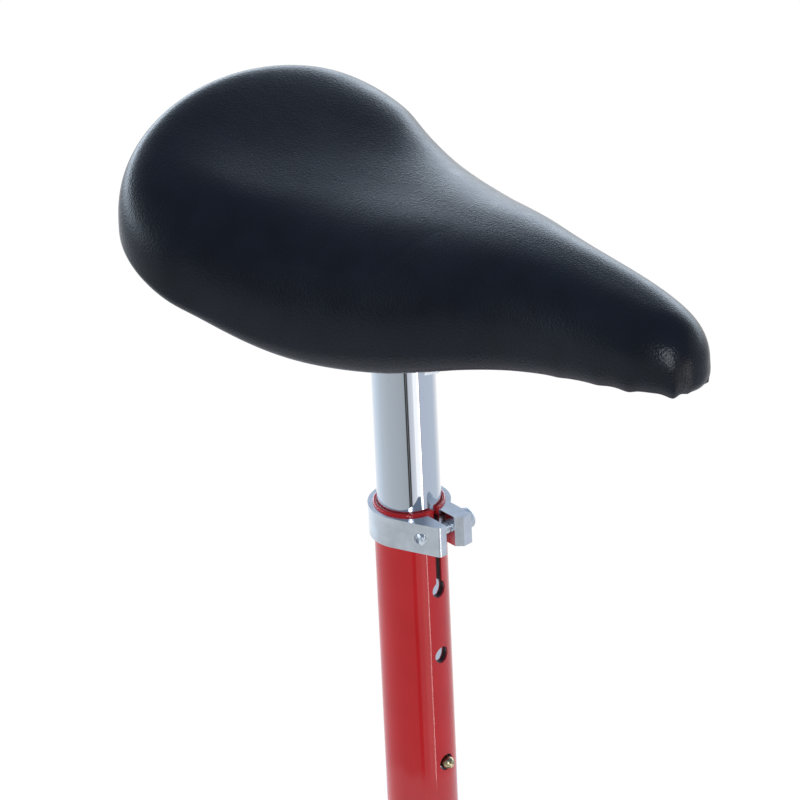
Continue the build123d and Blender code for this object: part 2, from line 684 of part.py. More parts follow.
with BuildPart() as rim:
    with BuildSketch(WHEEL_SECTION):
        with BuildLine():
            Polyline(
                (0, RIM_FLOOR_R),
                (8.2, RIM_FLOOR_R),
                (9.4, BEAD_SEAT_R),
                (13.9, BEAD_SEAT_R),
                (13.9, 209.6),
                (RIM_HALF_WIDTH, 209.6),
                (RIM_HALF_WIDTH, 201.2),
                (10.8, 201.2),
                (9.4, RIM_INNER_R),
                (0, RIM_INNER_R),
                close=True,
            )
        make_face()
        mirror(about=Plane.YZ)
    revolve(axis=AXLE_LINE)
    add(drills.part, mode=Mode.SUBTRACT)
    with BuildSketch(Plane.XY.offset(AXLE_Z - 190)):
        Circle(VALVE_R + 0.1)
    extrude(amount=-15, mode=Mode.SUBTRACT)
save(rim, "rim")

with BuildPart() as rim_tape:
    ring_y(-7.6, 7.6, 202.3, 201.6)
    with BuildSketch(Plane.XY.offset(AXLE_Z - 190)):
        Circle(VALVE_R + 0.1)
    extrude(amount=-15, mode=Mode.SUBTRACT)
save(rim_tape, "rim_tape")

with BuildPart() as tyre:
    with BuildSketch(WHEEL_SECTION):
        with Locations((0, TUBE_CENTRE_R)):
            Circle(TYRE_SECTION_R)
            Circle(TYRE_SECTION_R - TYRE_WALL, mode=Mode.SUBTRACT)
        with Locations((0, BEAD_TOP_R)):
            Rectangle(60, 40, align=(Align.CENTER, Align.MAX), mode=Mode.SUBTRACT)
        for half in (1, -1):
            with BuildLine():
                Polyline(
                    (half * 10.5, BEAD_SEAT_R + 0.1),
                    (half * 13.8, BEAD_SEAT_R + 0.1),
                    (half * 13.8, 209.8),
                    (half * 15.8, 210.0),
                    (half * 19.2, BEAD_TOP_R),
                    (half * 13.7, BEAD_TOP_R),
                    (half * 10.5, 209.4),
                    close=True,
                )
            make_face()
    revolve(axis=AXLE_LINE)
save(tyre, "tyre")

with BuildPart() as inner_tube:
    with BuildSketch(WHEEL_SECTION):
        with Locations((0, TUBE_CENTRE_R)):
            Circle(AIR_TUBE_R)
            Circle(AIR_TUBE_R - 1, mode=Mode.SUBTRACT)
    revolve(axis=AXLE_LINE)
save(inner_tube, "inner_tube")

VALVE_BASE_R = TUBE_CENTRE_R - AIR_TUBE_R - 0.15
with BuildPart() as valve:
    with BuildSketch(Plane.XY.offset(AXLE_Z - VALVE_BASE_R)):
        Circle(VALVE_R)
    extrude(amount=VALVE_BASE_R - VALVE_TIP_R)
    with BuildSketch(Plane.XY.offset(AXLE_Z - VALVE_TIP_R)):
        Circle(2.6)
    extrude(amount=4)
save(valve, "valve")

with BuildPart() as valve_cap:
    with BuildSketch(Plane.XY.offset(AXLE_Z - VALVE_TIP_R - 6)):
        Circle(5.0)
    extrude(amount=13)
    fillet(valve_cap.edges().group_by(Axis.Z)[-1], 1.5)
    with BuildSketch(Plane.XY.offset(AXLE_Z - VALVE_TIP_R - 6)):
        Circle(VALVE_R)
    extrude(amount=6, mode=Mode.SUBTRACT)
    with BuildSketch(Plane.XY.offset(AXLE_Z - VALVE_TIP_R)):
        Circle(2.6)
    extrude(amount=4, mode=Mode.SUBTRACT)
save(valve_cap, "valve_cap")

# ---- cranks --------------------------------------------------------------------------------
CRANK_INNER_Y = 62.5
CRANK_OUTER_Y = 86.0
ARM_INNER_Y = 72.0
ARM_OUTER_Y = 84.0
CRANK_BOSS_R = 17.0
PEDAL_EYE_R = 12.5
EXTRACTOR_R = 11.0
PEDAL_THREAD_R = 7.1
CRANK_ENDS = {"left": -CRANK_LENGTH, "right": CRANK_LENGTH}


def crank(name, side, pedal_x):
    """A cotterless crank: square-taper boss, tapering arm and threaded pedal eye."""
    toward = 1 if pedal_x > 0 else -1
    with BuildPart() as arm:
        with BuildSketch(across(side * ARM_INNER_Y)):
            with BuildLine():
                Polyline(
                    (0, 13.5),
                    (toward * 24, 11.0),
                    (pedal_x, 9.0),
                    (pedal_x, -9.0),
                    (toward * 24, -11.0),
                    (0, -13.5),
                    close=True,
                )
            make_face()
            Circle(CRANK_BOSS_R)
            with Locations((pedal_x, 0)):
                Circle(PEDAL_EYE_R)
        extrude(amount=side * (ARM_OUTER_Y - ARM_INNER_Y))
        chamfer(arm.faces().sort_by(Axis.Y)[-1 if side > 0 else 0].edges(), 1.5)
        ring_y(side * CRANK_INNER_Y, side * CRANK_OUTER_Y, CRANK_BOSS_R)
        square_taper(side, Mode.SUBTRACT)
        bore_y(side * (TAPER_END_Y - 0.01), side * (CRANK_OUTER_Y + 1), EXTRACTOR_R)
        bore_y(side * (ARM_INNER_Y - 1), side * (ARM_OUTER_Y + 1), PEDAL_THREAD_R, x=pedal_x)
    save(arm, name)


for side_name, side in SIDES.items():
    crank(f"{side_name}_crank", side, CRANK_ENDS[side_name])

with BuildPart() as crank_bolts:
    for side in SIDES.values():
        ring_y(side * (TAPER_END_Y - 18), side * TAPER_END_Y, CRANK_BOLT_R)
        ring_y(side * TAPER_END_Y, side * (TAPER_END_Y + 1.5), 8.5)
        with BuildSketch(across(side * (TAPER_END_Y + 1.5))):
            RegularPolygon(8.0, 6)
        extrude(amount=side * 4.5)
save(crank_bolts, "crank_bolts")

with BuildPart() as crank_dust_caps:
    for side in SIDES.values():
        ring_y(side * 83.8, side * 85.6, EXTRACTOR_R)
save(crank_dust_caps, "crank_dust_caps")

# ---- pedals --------------------------------------------------------------------------------
PEDAL_LENGTH = 88.0
PEDAL_HEIGHT = 28.0
PEDAL_BARREL_R = 14.0
PEDAL_BORE_R = 11.05
PEDAL_BALL_R = 2.0
PEDAL_BALL_CIRCLE_R = 9.0
PEDAL_BALL_COUNT = 12
CONE_R = 6.95
SPINDLE_THREAD_R = 4.5
INNER_BALLS_Y = 98.0
OUTER_BALLS_Y = 171.0


def pedal(side_name, side):
    """All the pieces of one pedal, at the end of its crank."""
    x = CRANK_ENDS[side_name]
    outer_y = PEDAL_INNER_Y + PEDAL_WIDTH

    with BuildPart() as spindle:
        ring_y(side * (ARM_INNER_Y - 0.5), side * ARM_OUTER_Y, PEDAL_THREAD_R, x=x)
        ring_y(side * ARM_OUTER_Y, side * (PEDAL_INNER_Y - 1.5), 9.0, x=x)
        ring_y(side * (PEDAL_INNER_Y - 1.5), side * (INNER_BALLS_Y + 4), CONE_R, x=x)
        ring_y(side * (INNER_BALLS_Y + 4), side * (OUTER_BALLS_Y - 4), 6.0, x=x)
        ring_y(side * (OUTER_BALLS_Y - 4), side * (outer_y - 3), SPINDLE_THREAD_R, x=x)
    save(spindle, f"{side_name}_pedal_spindle")

    with BuildPart() as cone:
        ring_y(side * (OUTER_BALLS_Y - 4), side * (OUTER_BALLS_Y + 4), CONE_R, SPINDLE_THREAD_R, x=x)
    save(cone, f"{side_name}_pedal_cone")

    with BuildPart() as locknut:
        with BuildSketch(across(side * (OUTER_BALLS_Y + 4), x=x)):
            RegularPolygon(7.5, 6)
            Circle(SPINDLE_THREAD_R, mode=Mode.SUBTRACT)
        extrude(amount=side * 4)
    save(locknut, f"{side_name}_pedal_locknut")

    with BuildPart() as balls:
        for row_y in (INNER_BALLS_Y, OUTER_BALLS_Y):
            with Locations(across(side * row_y, x=x).location):
                with PolarLocations(PEDAL_BALL_CIRCLE_R, PEDAL_BALL_COUNT):
                    Sphere(PEDAL_BALL_R)
    save(balls, f"{side_name}_pedal_balls")

    with BuildPart() as body:
        with BuildSketch(Plane(origin=(x, side * (PEDAL_INNER_Y + PEDAL_WIDTH / 2), AXLE_Z))):
            RectangleRounded(PEDAL_LENGTH, PEDAL_WIDTH, 10)
            with Locations((PEDAL_LENGTH / 4 + 1, 0), (-PEDAL_LENGTH / 4 - 1, 0)):
                RectangleRounded(PEDAL_LENGTH / 4, PEDAL_WIDTH - 18, 4, mode=Mode.SUBTRACT)
        extrude(amount=PEDAL_HEIGHT / 2, both=True)
        ring_y(side * PEDAL_INNER_Y, side * outer_y, PEDAL_BARREL_R, x=x)
        with Locations((x, side * (PEDAL_INNER_Y + PEDAL_WIDTH / 2), AXLE_Z)):
            with GridLocations(PEDAL_LENGTH / 2 + 2, 24, 2, 2):
                Box(PEDAL_LENGTH / 4 + 2, 4, PEDAL_HEIGHT - 8)
            with GridLocations(PEDAL_LENGTH, 1, 2, 1):
                Box(6, 62, 16, mode=Mode.SUBTRACT)
        bore_y(side * (PEDAL_INNER_Y - 1), side * (outer_y + 1), PEDAL_BORE_R, x=x)
    save(body, f"{side_name}_pedal_body")

    with BuildPart() as cap:
        ring_y(side * (outer_y - 2.5), side * (outer_y + 0.5), PEDAL_BORE_R, x=x)
    save(cap, f"{side_name}_pedal_dust_cap")

    with BuildPart() as reflectors:
        with Locations((x, side * (PEDAL_INNER_Y + PEDAL_WIDTH / 2), AXLE_Z)):
            with GridLocations(PEDAL_LENGTH - 3, 1, 2, 1):
                Box(3, 62, 16)
    save(reflectors, f"{side_name}_pedal_reflectors")


for side_name, side in SIDES.items():
    pedal(side_name, side)
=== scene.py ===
import json
import math

import bpy
from mathutils import Matrix, Vector, noise


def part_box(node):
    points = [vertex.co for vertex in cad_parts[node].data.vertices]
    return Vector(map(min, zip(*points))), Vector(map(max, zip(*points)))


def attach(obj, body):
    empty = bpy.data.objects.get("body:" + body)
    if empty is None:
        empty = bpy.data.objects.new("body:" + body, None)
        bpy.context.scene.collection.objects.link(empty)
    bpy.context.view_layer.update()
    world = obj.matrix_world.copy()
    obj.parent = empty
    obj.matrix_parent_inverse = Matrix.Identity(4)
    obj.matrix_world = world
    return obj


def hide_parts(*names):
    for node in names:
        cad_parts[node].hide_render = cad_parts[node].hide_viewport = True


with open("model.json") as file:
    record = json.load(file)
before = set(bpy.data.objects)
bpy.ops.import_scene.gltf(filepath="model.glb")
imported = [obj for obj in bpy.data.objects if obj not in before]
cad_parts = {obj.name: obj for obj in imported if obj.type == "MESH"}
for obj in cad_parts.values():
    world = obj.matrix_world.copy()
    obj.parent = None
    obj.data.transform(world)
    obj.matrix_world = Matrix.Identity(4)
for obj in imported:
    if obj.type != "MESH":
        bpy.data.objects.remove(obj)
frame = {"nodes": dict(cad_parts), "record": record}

# The looks of a 20 inch learner unicycle. +X is forward, +Y the rider's left, +Z up.
# What is read from the frame is in metres, and so are the sizes and places of the camera, the
# light and the floor. Every other size is in millimetres, and MM turns it into metres.
MM = 0.001
TURN = 2 * math.pi
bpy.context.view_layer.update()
RIM_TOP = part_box("frame_tube")[1].z
TUBE_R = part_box("frame_tube")[1].x
AXLE_Z = (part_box("axle")[0].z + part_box("axle")[1].z) / 2


# ---- mesh helpers ----
def make_piece(name, points, faces, smooth=True):
    """A mesh object from points in metres and faces by index."""
    mesh = bpy.data.meshes.new(name)
    mesh.from_pydata([tuple(p) for p in points], [], faces)
    mesh.validate()
    mesh.polygons.foreach_set("use_smooth", [smooth] * len(mesh.polygons))
    piece = bpy.data.objects.new(name, mesh)
    bpy.context.scene.collection.objects.link(piece)
    return piece


def grid_faces(rows, columns, close_rows=False, close_columns=False):
    """Quads of a grid whose point (row, column) has index row * columns + column."""
    faces = []
    for row in range(rows if close_rows else rows - 1):
        here = row * columns
        below = (row + 1) % rows * columns
        for column in range(columns if close_columns else columns - 1):
            right = (column + 1) % columns
            faces.append((here + column, here + right, below + right, below + column))
    return faces


def add_part(points, faces, more_points, more_faces):
    """Add a part to the points and faces of a piece that is being gathered."""
    start = len(points)
    points += more_points
    faces += [tuple(i + start for i in face) for face in more_faces]


def lathe(name, profile, steps, centre, axis, up):
    """Turn a closed profile of (radius, height) about an axis through centre."""
    side = axis.cross(up)
    points = []
    for step in range(steps):
        turn = TURN * step / steps
        out = up * math.cos(turn) + side * math.sin(turn)
        points += [centre + out * radius + axis * height for radius, height in profile]
    return make_piece(name, points, grid_faces(steps, len(profile), True, True))


def sharpen(piece, angle):
    """Smooth shading that keeps edges sharper than this angle in degrees."""
    with bpy.context.temp_override(object=piece, active_object=piece, selected_objects=[piece]):
        bpy.ops.object.shade_smooth_by_angle(angle=math.radians(angle))


def finish_piece(piece, material, body, *nodes):
    """Give a piece its material and body, and hide the CAD nodes that it stands for."""
    piece.data.materials.append(material)
    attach(piece, body)
    if nodes:
        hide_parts(*nodes)
    return piece


# ---- materials ----
# A Mix node has several sockets of the same name, so its colour sockets go by number.
MIX_A = 6
MIX_B = 7
MIX_RESULT = 2
CUT_WALL_PAINT_AND_SHADE = (0.035, 0.008, 0.008)    # thin red paint, darkened further as painted shade inside the tube


def maths_node(tree, operation, values):
    """A maths node on outputs and numbers."""
    node = tree.nodes.new("ShaderNodeMath")
    node.operation = operation
    for index, value in enumerate(values):
        if isinstance(value, (int, float)):
            node.inputs[index].default_value = value
        else:
            tree.links.new(value, node.inputs[index])
    return node.outputs["Value"]


def ramp_node(tree, fac, stops):
    """A colour ramp of (position, colour) stops."""
    node = tree.nodes.new("ShaderNodeValToRGB")
    while len(node.color_ramp.elements) < len(stops):
        node.color_ramp.elements.new(0.5)
    for element, (position, colour) in zip(node.color_ramp.elements, stops):
        element.position = position
        element.color = (*colour, 1)
    tree.links.new(fac, node.inputs["Fac"])
    return node.outputs["Color"]


class Finish:
    """A procedural material: its shader and short calls for the nodes that feed it."""

    def __init__(self, name, colour, **settings):
        self.material = bpy.data.materials.new(name)
        self.material.use_nodes = True
        self.tree = self.material.node_tree
        self.shader = self.tree.nodes["Principled BSDF"]
        self.shader.inputs["Base Color"].default_value = (*colour, 1)
        for socket, value in settings.items():
            self.shader.inputs[socket.replace("_", " ")].default_value = value
        place = self.tree.nodes.new("ShaderNodeTexCoord")
        self.millimetres = self.stretch(place.outputs["Object"], (1000, 1000, 1000))

    def link(self, output, node, socket):
        self.tree.links.new(output, node.inputs[socket])

    def stretch(self, vector, scale):
        """The vector times a scale for each axis."""
        node = self.tree.nodes.new("ShaderNodeMapping")
        node.inputs["Scale"].default_value = scale
        self.link(vector, node, "Vector")
        return node.outputs["Vector"]

    def noise(self, size_mm, detail=2, along=(1, 1, 1)):
        """Noise with features of this size, stretched along an axis where its share is small."""
        node = self.tree.nodes.new("ShaderNodeTexNoise")
        node.inputs["Scale"].default_value = 1 / size_mm
        node.inputs["Detail"].default_value = detail
        self.link(self.stretch(self.millimetres, along), node, "Vector")
        return node.outputs["Fac"]

    def cells(self, size_mm, feature="F1"):
        """Distance within Voronoi cells of this size."""
        node = self.tree.nodes.new("ShaderNodeTexVoronoi")
        node.feature = feature
        node.inputs["Scale"].default_value = 1 / size_mm
        self.link(self.millimetres, node, "Vector")
        return node.outputs["Distance"]

    def remap(self, value, low, high, to_low, to_high):
        """Map a range of a value to another, and clamp it there."""
        node = self.tree.nodes.new("ShaderNodeMapRange")
        ends = {"From Min": low, "From Max": high, "To Min": to_low, "To Max": to_high}
        for socket, number in ends.items():
            node.inputs[socket].default_value = number
        self.link(value, node, "Value")
        return node.outputs["Result"]

    def math(self, operation, *values):
        return maths_node(self.tree, operation, values)

    def colours(self, fac, *stops):
        """Colour from a ramp of (position, colour) stops."""
        self.link(ramp_node(self.tree, fac, stops), self.shader, "Base Color")

    def paint_shade_inside(self, radius_low, radius_high, top):
        """Darken what lies inside a tube about the Z axis, below a height: painted shade on the cut walls
        and bore, which also carry only thin paint.
        """
        split = self.tree.nodes.new("ShaderNodeSeparateXYZ")
        self.link(self.millimetres, split, "Vector")
        x, y, z = (split.outputs[axis] for axis in "XYZ")
        square = self.math("ADD", self.math("MULTIPLY", x, x), self.math("MULTIPLY", y, y))
        radius = self.math("SQRT", square)
        outside = self.remap(radius, radius_low, radius_high, 0.0, 1.0)
        above = self.remap(z, top - 1, top, 0.0, 1.0)
        node = self.tree.nodes.new("ShaderNodeMix")
        node.data_type = "RGBA"
        node.inputs[MIX_A].default_value = (*CUT_WALL_PAINT_AND_SHADE, 1)
        colour = self.shader.inputs["Base Color"].links[0].from_socket
        self.link(self.math("MAXIMUM", outside, above), node, "Factor")
        self.tree.links.new(colour, node.inputs[MIX_B])
        self.link(node.outputs[MIX_RESULT], self.shader, "Base Color")

    def rough(self, fac, low, high):
        """Roughness from low to high with the middle of a 0 to 1 value, where noise lies."""
        self.link(self.remap(fac, 0.3, 0.7, low, high), self.shader, "Roughness")

    def bumps(self, *layers):
        """Bumps of (height, depth in mm), one over another."""
        normal = None
        for height, depth_mm in layers:
            node = self.tree.nodes.new("ShaderNodeBump")
            node.inputs["Strength"].default_value = 1
            node.inputs["Distance"].default_value = depth_mm * MM
            self.link(height, node, "Height")
            if normal is not None:
                self.link(normal, node, "Normal")
            normal = node.outputs["Normal"]
        self.link(normal, self.shader, "Normal")
        self.link(normal, self.shader, "Coat Normal")
        return self


def vinyl():
    """Black seat vinyl with an embossed leather grain and a little bloom."""
    skin = Finish("vinyl", (0.006, 0.007, 0.012), Specular_IOR_Level=0.28)
    skin.colours(skin.noise(14, 3), (0.35, (0.0045, 0.0055, 0.0095)), (0.7, (0.0065, 0.0085, 0.0145)))
    skin.rough(skin.noise(9, 3), 0.26, 0.33)
    pebbles = skin.cells(0.8, "SMOOTH_F1")
    creases = skin.noise(0.4, 3)
    return skin.bumps((pebbles, 0.09), (creases, 0.035), (skin.noise(34, 1), 0.4)).material


def foam():
    """Cream open-cell foam, with painted shade in its pores."""
    pores = Finish("foam", (0.72, 0.66, 0.50), Roughness=0.95)
    # Painted shade: darkest at the middle of each cell, where the bumps dip into a pore.
    pores.colours(pores.cells(1.1), (0.0, (0.45, 0.38, 0.26)), (0.5, (0.78, 0.72, 0.56)))
    return pores.bumps((pores.cells(1.1), 0.6)).material


def moulded_plastic(name, colour, roughness=0.5, texture_mm=0.4):
    """Moulded plastic with a fine spark-eroded texture."""
    plastic = Finish(name, colour, Roughness=roughness)
    darker = tuple(c * 0.7 for c in colour)
    plastic.colours(plastic.noise(22, 2), (0.3, darker), (0.7, colour))
    plastic.rough(plastic.noise(5, 3), roughness - 0.07, roughness + 0.1)
    return plastic.bumps((plastic.noise(texture_mm, 2), 0.05)).material


METAL_SPREAD = 0.05   # of roughness, either way
STREAK_DEPTH = 0.004
WAVE_DEPTH = 0.024


def metal(name, colour, roughness, streak_mm, along=(1, 1, 1)):
    """Bare or plated metal with faint handling marks and grinding streaks."""
    plate = Finish(name, colour, Metallic=1.0, Roughness=roughness)
    duller = tuple(c * 0.86 for c in colour)
    plate.colours(plate.noise(7, 4), (0.35, duller), (0.65, colour))
    plate.rough(plate.noise(3, 4), roughness - METAL_SPREAD, roughness + METAL_SPREAD)
    streaks = plate.noise(streak_mm, 2, along)
    return plate.bumps((plate.noise(30, 1), WAVE_DEPTH), (streaks, STREAK_DEPTH)).material


def chrome():
    """Bright chrome with fine vertical polishing lines and a few pits."""
    plate = Finish("chrome", (0.72, 0.75, 0.80), Metallic=1.0, Roughness=0.05)
    pits = plate.remap(plate.noise(0.55, 2), 0.74, 0.78, 0.0, 1.0)
    plate.colours(pits, (0.0, (0.72, 0.75, 0.80)), (1.0, (0.10, 0.10, 0.11)))
    plate.rough(plate.noise(4, 4, (1, 1, 0.25)), 0.03, 0.08)
    lines = plate.noise(0.5, 2, (1, 1, 0.03))
    return plate.bumps((plate.noise(45, 1), 0.03), (lines, 0.0006)).material


def red_paint():
    """Red enamel under a clear gloss that pulled a little uneven as it dried."""
    paint = Finish("red_paint", (0.75, 0.012, 0.014), Roughness=0.5, Specular_IOR_Level=0.1)
    paint.shader.inputs["Coat Weight"].default_value = 0.8
    paint.shader.inputs["Coat Roughness"].default_value = 0.05
    paint.colours(paint.noise(30, 2), (0.3, (0.52, 0.007, 0.009)), (0.7, (0.60, 0.011, 0.014)))
    wall = TUBE_R / MM
    # Painted shade: the cut walls and the bore below the rim are darkened, over thin paint.
    paint.paint_shade_inside(wall - 0.9, wall - 0.1, RIM_TOP / MM - 3)
    waves = paint.noise(16, 1, (1, 1, 0.55))
    return paint.bumps((waves, 0.16), (paint.noise(1.6, 2), 0.004)).material


def brass(name, colour, roughness):
    """Brass plate, browned where it is seldom rubbed."""
    plate = Finish(name, colour, Metallic=1.0, Roughness=roughness)
    browned = (colour[0] * 0.42, colour[1] * 0.45, colour[2] * 0.5)
    plate.colours(plate.noise(1.4, 4), (0.38, browned), (0.6, colour))
    plate.rough(plate.noise(1.2, 3), roughness - 0.1, roughness + 0.12)
    return plate.bumps((plate.noise(0.5, 3), 0.012)).material


def rubber(name, colour, roughness=0.72):
    """Matt rubber with dust in its pores."""
    skin = Finish(name, colour, Roughness=roughness)
    dusty = tuple(c * 1.9 + 0.008 for c in colour)
    skin.colours(skin.noise(16, 4), (0.42, colour), (0.75, dusty))
    skin.rough(skin.noise(6, 3), roughness - 0.1, roughness + 0.12)
    return skin.bumps((skin.noise(0.7, 2), 0.04)).material


def amber_reflector():
    """Amber acrylic under a gloss coat."""
    lens = Finish("reflector", (0.85, 0.27, 0.01), Roughness=0.12, Coat_Weight=1.0, Coat_Roughness=0.03)
    lens.colours(lens.noise(9, 2), (0.3, (0.72, 0.20, 0.008)), (0.7, (0.92, 0.34, 0.015)))
    return lens.bumps((lens.noise(3, 1), 0.01)).material


FINISHES = {
    "vinyl": vinyl(),
    "foam": foam(),
    "base_plastic": moulded_plastic("base_plastic", (0.030, 0.030, 0.034), 0.52),
    "cap_plastic": moulded_plastic("cap_plastic", (0.020, 0.020, 0.023), 0.42),
    "pedal_plastic": moulded_plastic("pedal_plastic", (0.024, 0.024, 0.027), 0.5, 0.6),
    "zinc_steel": metal("zinc_steel", (0.66, 0.70, 0.74), 0.30, 0.5),
    "chrome": chrome(),
    "red_paint": red_paint(),
    "aluminium": metal("aluminium", (0.80, 0.82, 0.86), 0.17, 0.35, (0.12, 0.12, 1)),
    "brass": brass("brass", (0.62, 0.52, 0.30), 0.28),
    "spring_steel": metal("spring_steel", (0.40, 0.41, 0.43), 0.32, 0.4, (1, 1, 0.1)),
    "bearing_steel": metal("bearing_steel", (0.60, 0.61, 0.63), 0.18, 0.4, (0.2, 1, 0.2)),
    "seal_rubber": rubber("seal_rubber", (0.030, 0.030, 0.033), 0.6),
    "black_steel": metal("black_steel", (0.06, 0.06, 0.065), 0.38, 0.4),
    "tyre_rubber": rubber("tyre_rubber", (0.026, 0.026, 0.028)),
    "tube_rubber": rubber("tube_rubber", (0.035, 0.035, 0.038), 0.5),
    "tape": rubber("tape", (0.42, 0.09, 0.07), 0.6),
    "reflector": amber_reflector(),
}


def dress_cad_nodes():
    """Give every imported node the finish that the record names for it."""
    for subpart in frame["record"]["subparts"]:
        node = frame["nodes"][subpart["node"]]
        for slot in node.material_slots:
            slot.material = FINISHES[subpart["material_slot"]]


BEVELLED = {
    "seat_clamp": 0.35,
    "left_crank": 0.6,
    "right_crank": 0.6,
    "left_pedal_body": 0.5,
    "right_pedal_body": 0.5,
    "seatpost_plate": 0.5,
}


def soften_edges():
    """Round the sharp edges of machined and moulded parts a little."""
    for name, width_mm in BEVELLED.items():
        edges = frame["nodes"][name].modifiers.new("edges", "BEVEL")
        edges.width = width_mm * MM
        edges.segments = 2
        edges.limit_method = "ANGLE"
        edges.angle_limit = math.radians(50)
        edges.harden_normals = True


dress_cad_nodes()
soften_edges()


# ---- saddle ----
# This form was fitted to the saddle's outline in the photo and rounded, here and down to HIP_SIZE.
# Control points of the plan's half outline, tail to nose, in mm from the seat tube's axis.
SADDLE_PLAN = [
    (-105, 0),
    (-105, 26),
    (-93, 71),
    (-55, 74.5),
    (-49, 68.5),
    (-5, 59),
    (53, 41),
    (80.5, 25.5),
    (150, 19),
    (150, 0),
]
# Control heights over the tube's rim, evenly spread from tail to nose.
WIDEST_LINE = [123.5, 112, 79, 102, 107, 105]
CROWN_LINE = [164, 142.3, 128, 138.6, 127, 121.6]
TAIL_FAN = 56         # the crown line starts this far inside the tail
NOSE_FAN = 19         # and ends this far inside the nose
# Place from tail to nose, and two powers that say how the side curves down from the crown.
SIDE_SHAPE = [(0, 0.39, 0.73), (0.5, 0.87, 0.81), (1, 0.72, 0.84)]
# A low swell on either side, where the rider's hips rest.
HIP_RISE = 3.6
HIP_CENTRE = (-48, 53)
HIP_SIZE = (26, 22)
# The turned-under edge: share of the plan, drop below the widest line in mm.
UNDER_EDGE = [
    (0.998, 1.5),
    (0.99, 3.6),
    (0.975, 5.6),
    (0.95, 7.2),
    (0.915, 8.3),
    (0.875, 8.8),
    (0.83, 8.8),
    (0.8, 8.4),
]
# How much of that drop is taken, from tail to nose.
DROP_SHARE = [(0, 0.78), (0.2, 0.8), (0.38, 1.02), (0.53, 1.15), (0.64, 1.02), (0.85, 0.98), (1, 0.86)]
OUTLINE_STEPS = 240
OUTLINE_POINTS = 2 * OUTLINE_STEPS - 2    # the two halves share their ends
CROWN_STEPS = 36
VINYL_THICKNESS = 1.2
FOAM_STEPS = 16
FOAM_INSET = 2.2
FOAM_EDGE = [(0.985, 0.8), (0.97, 0.5), (0.5, 0.5)]    # as UNDER_EDGE, but flat below


def control_curve(points, steps):
    """Points on a clamped cubic B-spline, spread evenly in its parameter."""
    count = len(points)
    knots = [0.0] * 3 + [i / (count - 3) for i in range(count - 2)] + [1.0] * 3
    curve = []
    for step in range(steps):
        t = min(step / (steps - 1), 1 - 1e-9)
        span = max(i for i in range(3, count) if knots[i] <= t)
        hull = [Vector(points[i]) for i in range(span - 3, span + 1)]
        for level in range(1, 4):
            for j in range(3, level - 1, -1):
                i = span - 3 + j
                share = (t - knots[i]) / (knots[i + 4 - level] - knots[i])
                hull[j] = hull[j - 1].lerp(hull[j], share)
        curve.append(hull[3])
    return curve


def between(table, share):
    """Values read off a table of rows that start with their place, by straight runs."""
    for low, high in zip(table, table[1:]):
        if share <= high[0]:
            part = max(0.0, (share - low[0]) / (high[0] - low[0]))
            return [a + (b - a) * part for a, b in zip(low[1:], high[1:])]
    return list(table[-1][1:])


TAIL_X = SADDLE_PLAN[0][0]
NOSE_X = SADDLE_PLAN[-1][0]
HEIGHT_STEPS = 121


def height_line(values):
    """A function of x that gives the height on a control line."""
    curve = control_curve([(value, 0) for value in values], HEIGHT_STEPS)
    table = [(step / (HEIGHT_STEPS - 1), point.x) for step, point in enumerate(curve)]
    return lambda x: between(table, (x - TAIL_X) / (NOSE_X - TAIL_X))[0]


WIDEST_HEIGHT = height_line(WIDEST_LINE)
CROWN_HEIGHT = height_line(CROWN_LINE)


def saddle_point(outline, share, drop=None, inset=0.0):
    """A point of the saddle in mm. share runs from the crown line, 0, to the widest line, 1."""
    along = (outline.x - TAIL_X) / (NOSE_X - TAIL_X)
    spine_x = TAIL_X + TAIL_FAN + along * (NOSE_X - TAIL_X - TAIL_FAN - NOSE_FAN)
    spine = Vector((spine_x, 0))
    reach = outline - spine
    flat = spine + reach * (share * (1 - inset / max(reach.length, 1)))
    base = WIDEST_HEIGHT(outline.x)
    if drop is not None:
        return Vector((flat.x, flat.y, base - drop * between(DROP_SHARE, along)[0]))
    power, lift = between(SIDE_SHAPE, along)
    swell = max(0.0, 1 - share ** (2 / power)) ** (lift / 2)
    crown = CROWN_HEIGHT(flat.x) - inset
    hip = ((flat.x - HIP_CENTRE[0]) / HIP_SIZE[0]) ** 2 + ((abs(flat.y) - HIP_CENTRE[1]) / HIP_SIZE[1]) ** 2
    return Vector((flat.x, flat.y, base + (crown - base) * swell + HIP_RISE * math.exp(-hip) * swell))


def over_rim(point):
    """A saddle point in mm over the tube's rim, as a place in metres."""
    return Vector((point.x * MM, point.y * MM, RIM_TOP + point.z * MM))


def saddle_outline():
    """The whole plan outline, closed, from the tail round the left side to the nose and back."""
    half = [Vector((p.x, p.y)) for p in control_curve(SADDLE_PLAN, OUTLINE_STEPS)]
    return half + [Vector((p.x, -p.y)) for p in reversed(half[1:-1])]


# Pleats where the vinyl is gathered under the nose: share of the way round, depth in mm.
PLEATS = [(-0.04, 0.4), (-0.012, 0.6), (0.0165, 2.2), (0.036, 1.3), (0.048, 0.6), (0.064, 0.4)]
PLEAT_WIDTH = 0.0030
PLEAT_FADE = 0.10     # the pleats start this share above the widest line
PLEAT_RIM = 0.35      # of their depth, at the widest line
PLEAT_DROP = 7        # the drop below that line that would add their whole depth
PLEAT_OUT = 0.55      # how much of the swell goes outwards, and how much down
PLEAT_DOWN = 0.75
NOSE_SKIRT = 0.9      # the gathered edge stands out this far round the nose
SKIRT_REACH = 0.09    # and as a share of the way round, to either side


def pleat_swell(turn, share, drop):
    """How far a point near the nose stands out on a pleat, in mm."""
    if drop is None:
        low = max(0.0, (share - (1 - PLEAT_FADE)) / PLEAT_FADE) ** 2 * PLEAT_RIM
    else:
        low = min(1.0, PLEAT_RIM + drop / PLEAT_DROP)
    swell = 0.0
    for place, depth in PLEATS:
        off = (turn - 0.5 - place) / PLEAT_WIDTH
        swell += depth * math.exp(-off * off)
    return (swell + NOSE_SKIRT * max(0.0, 1 - abs(turn - 0.5) / SKIRT_REACH)) * low


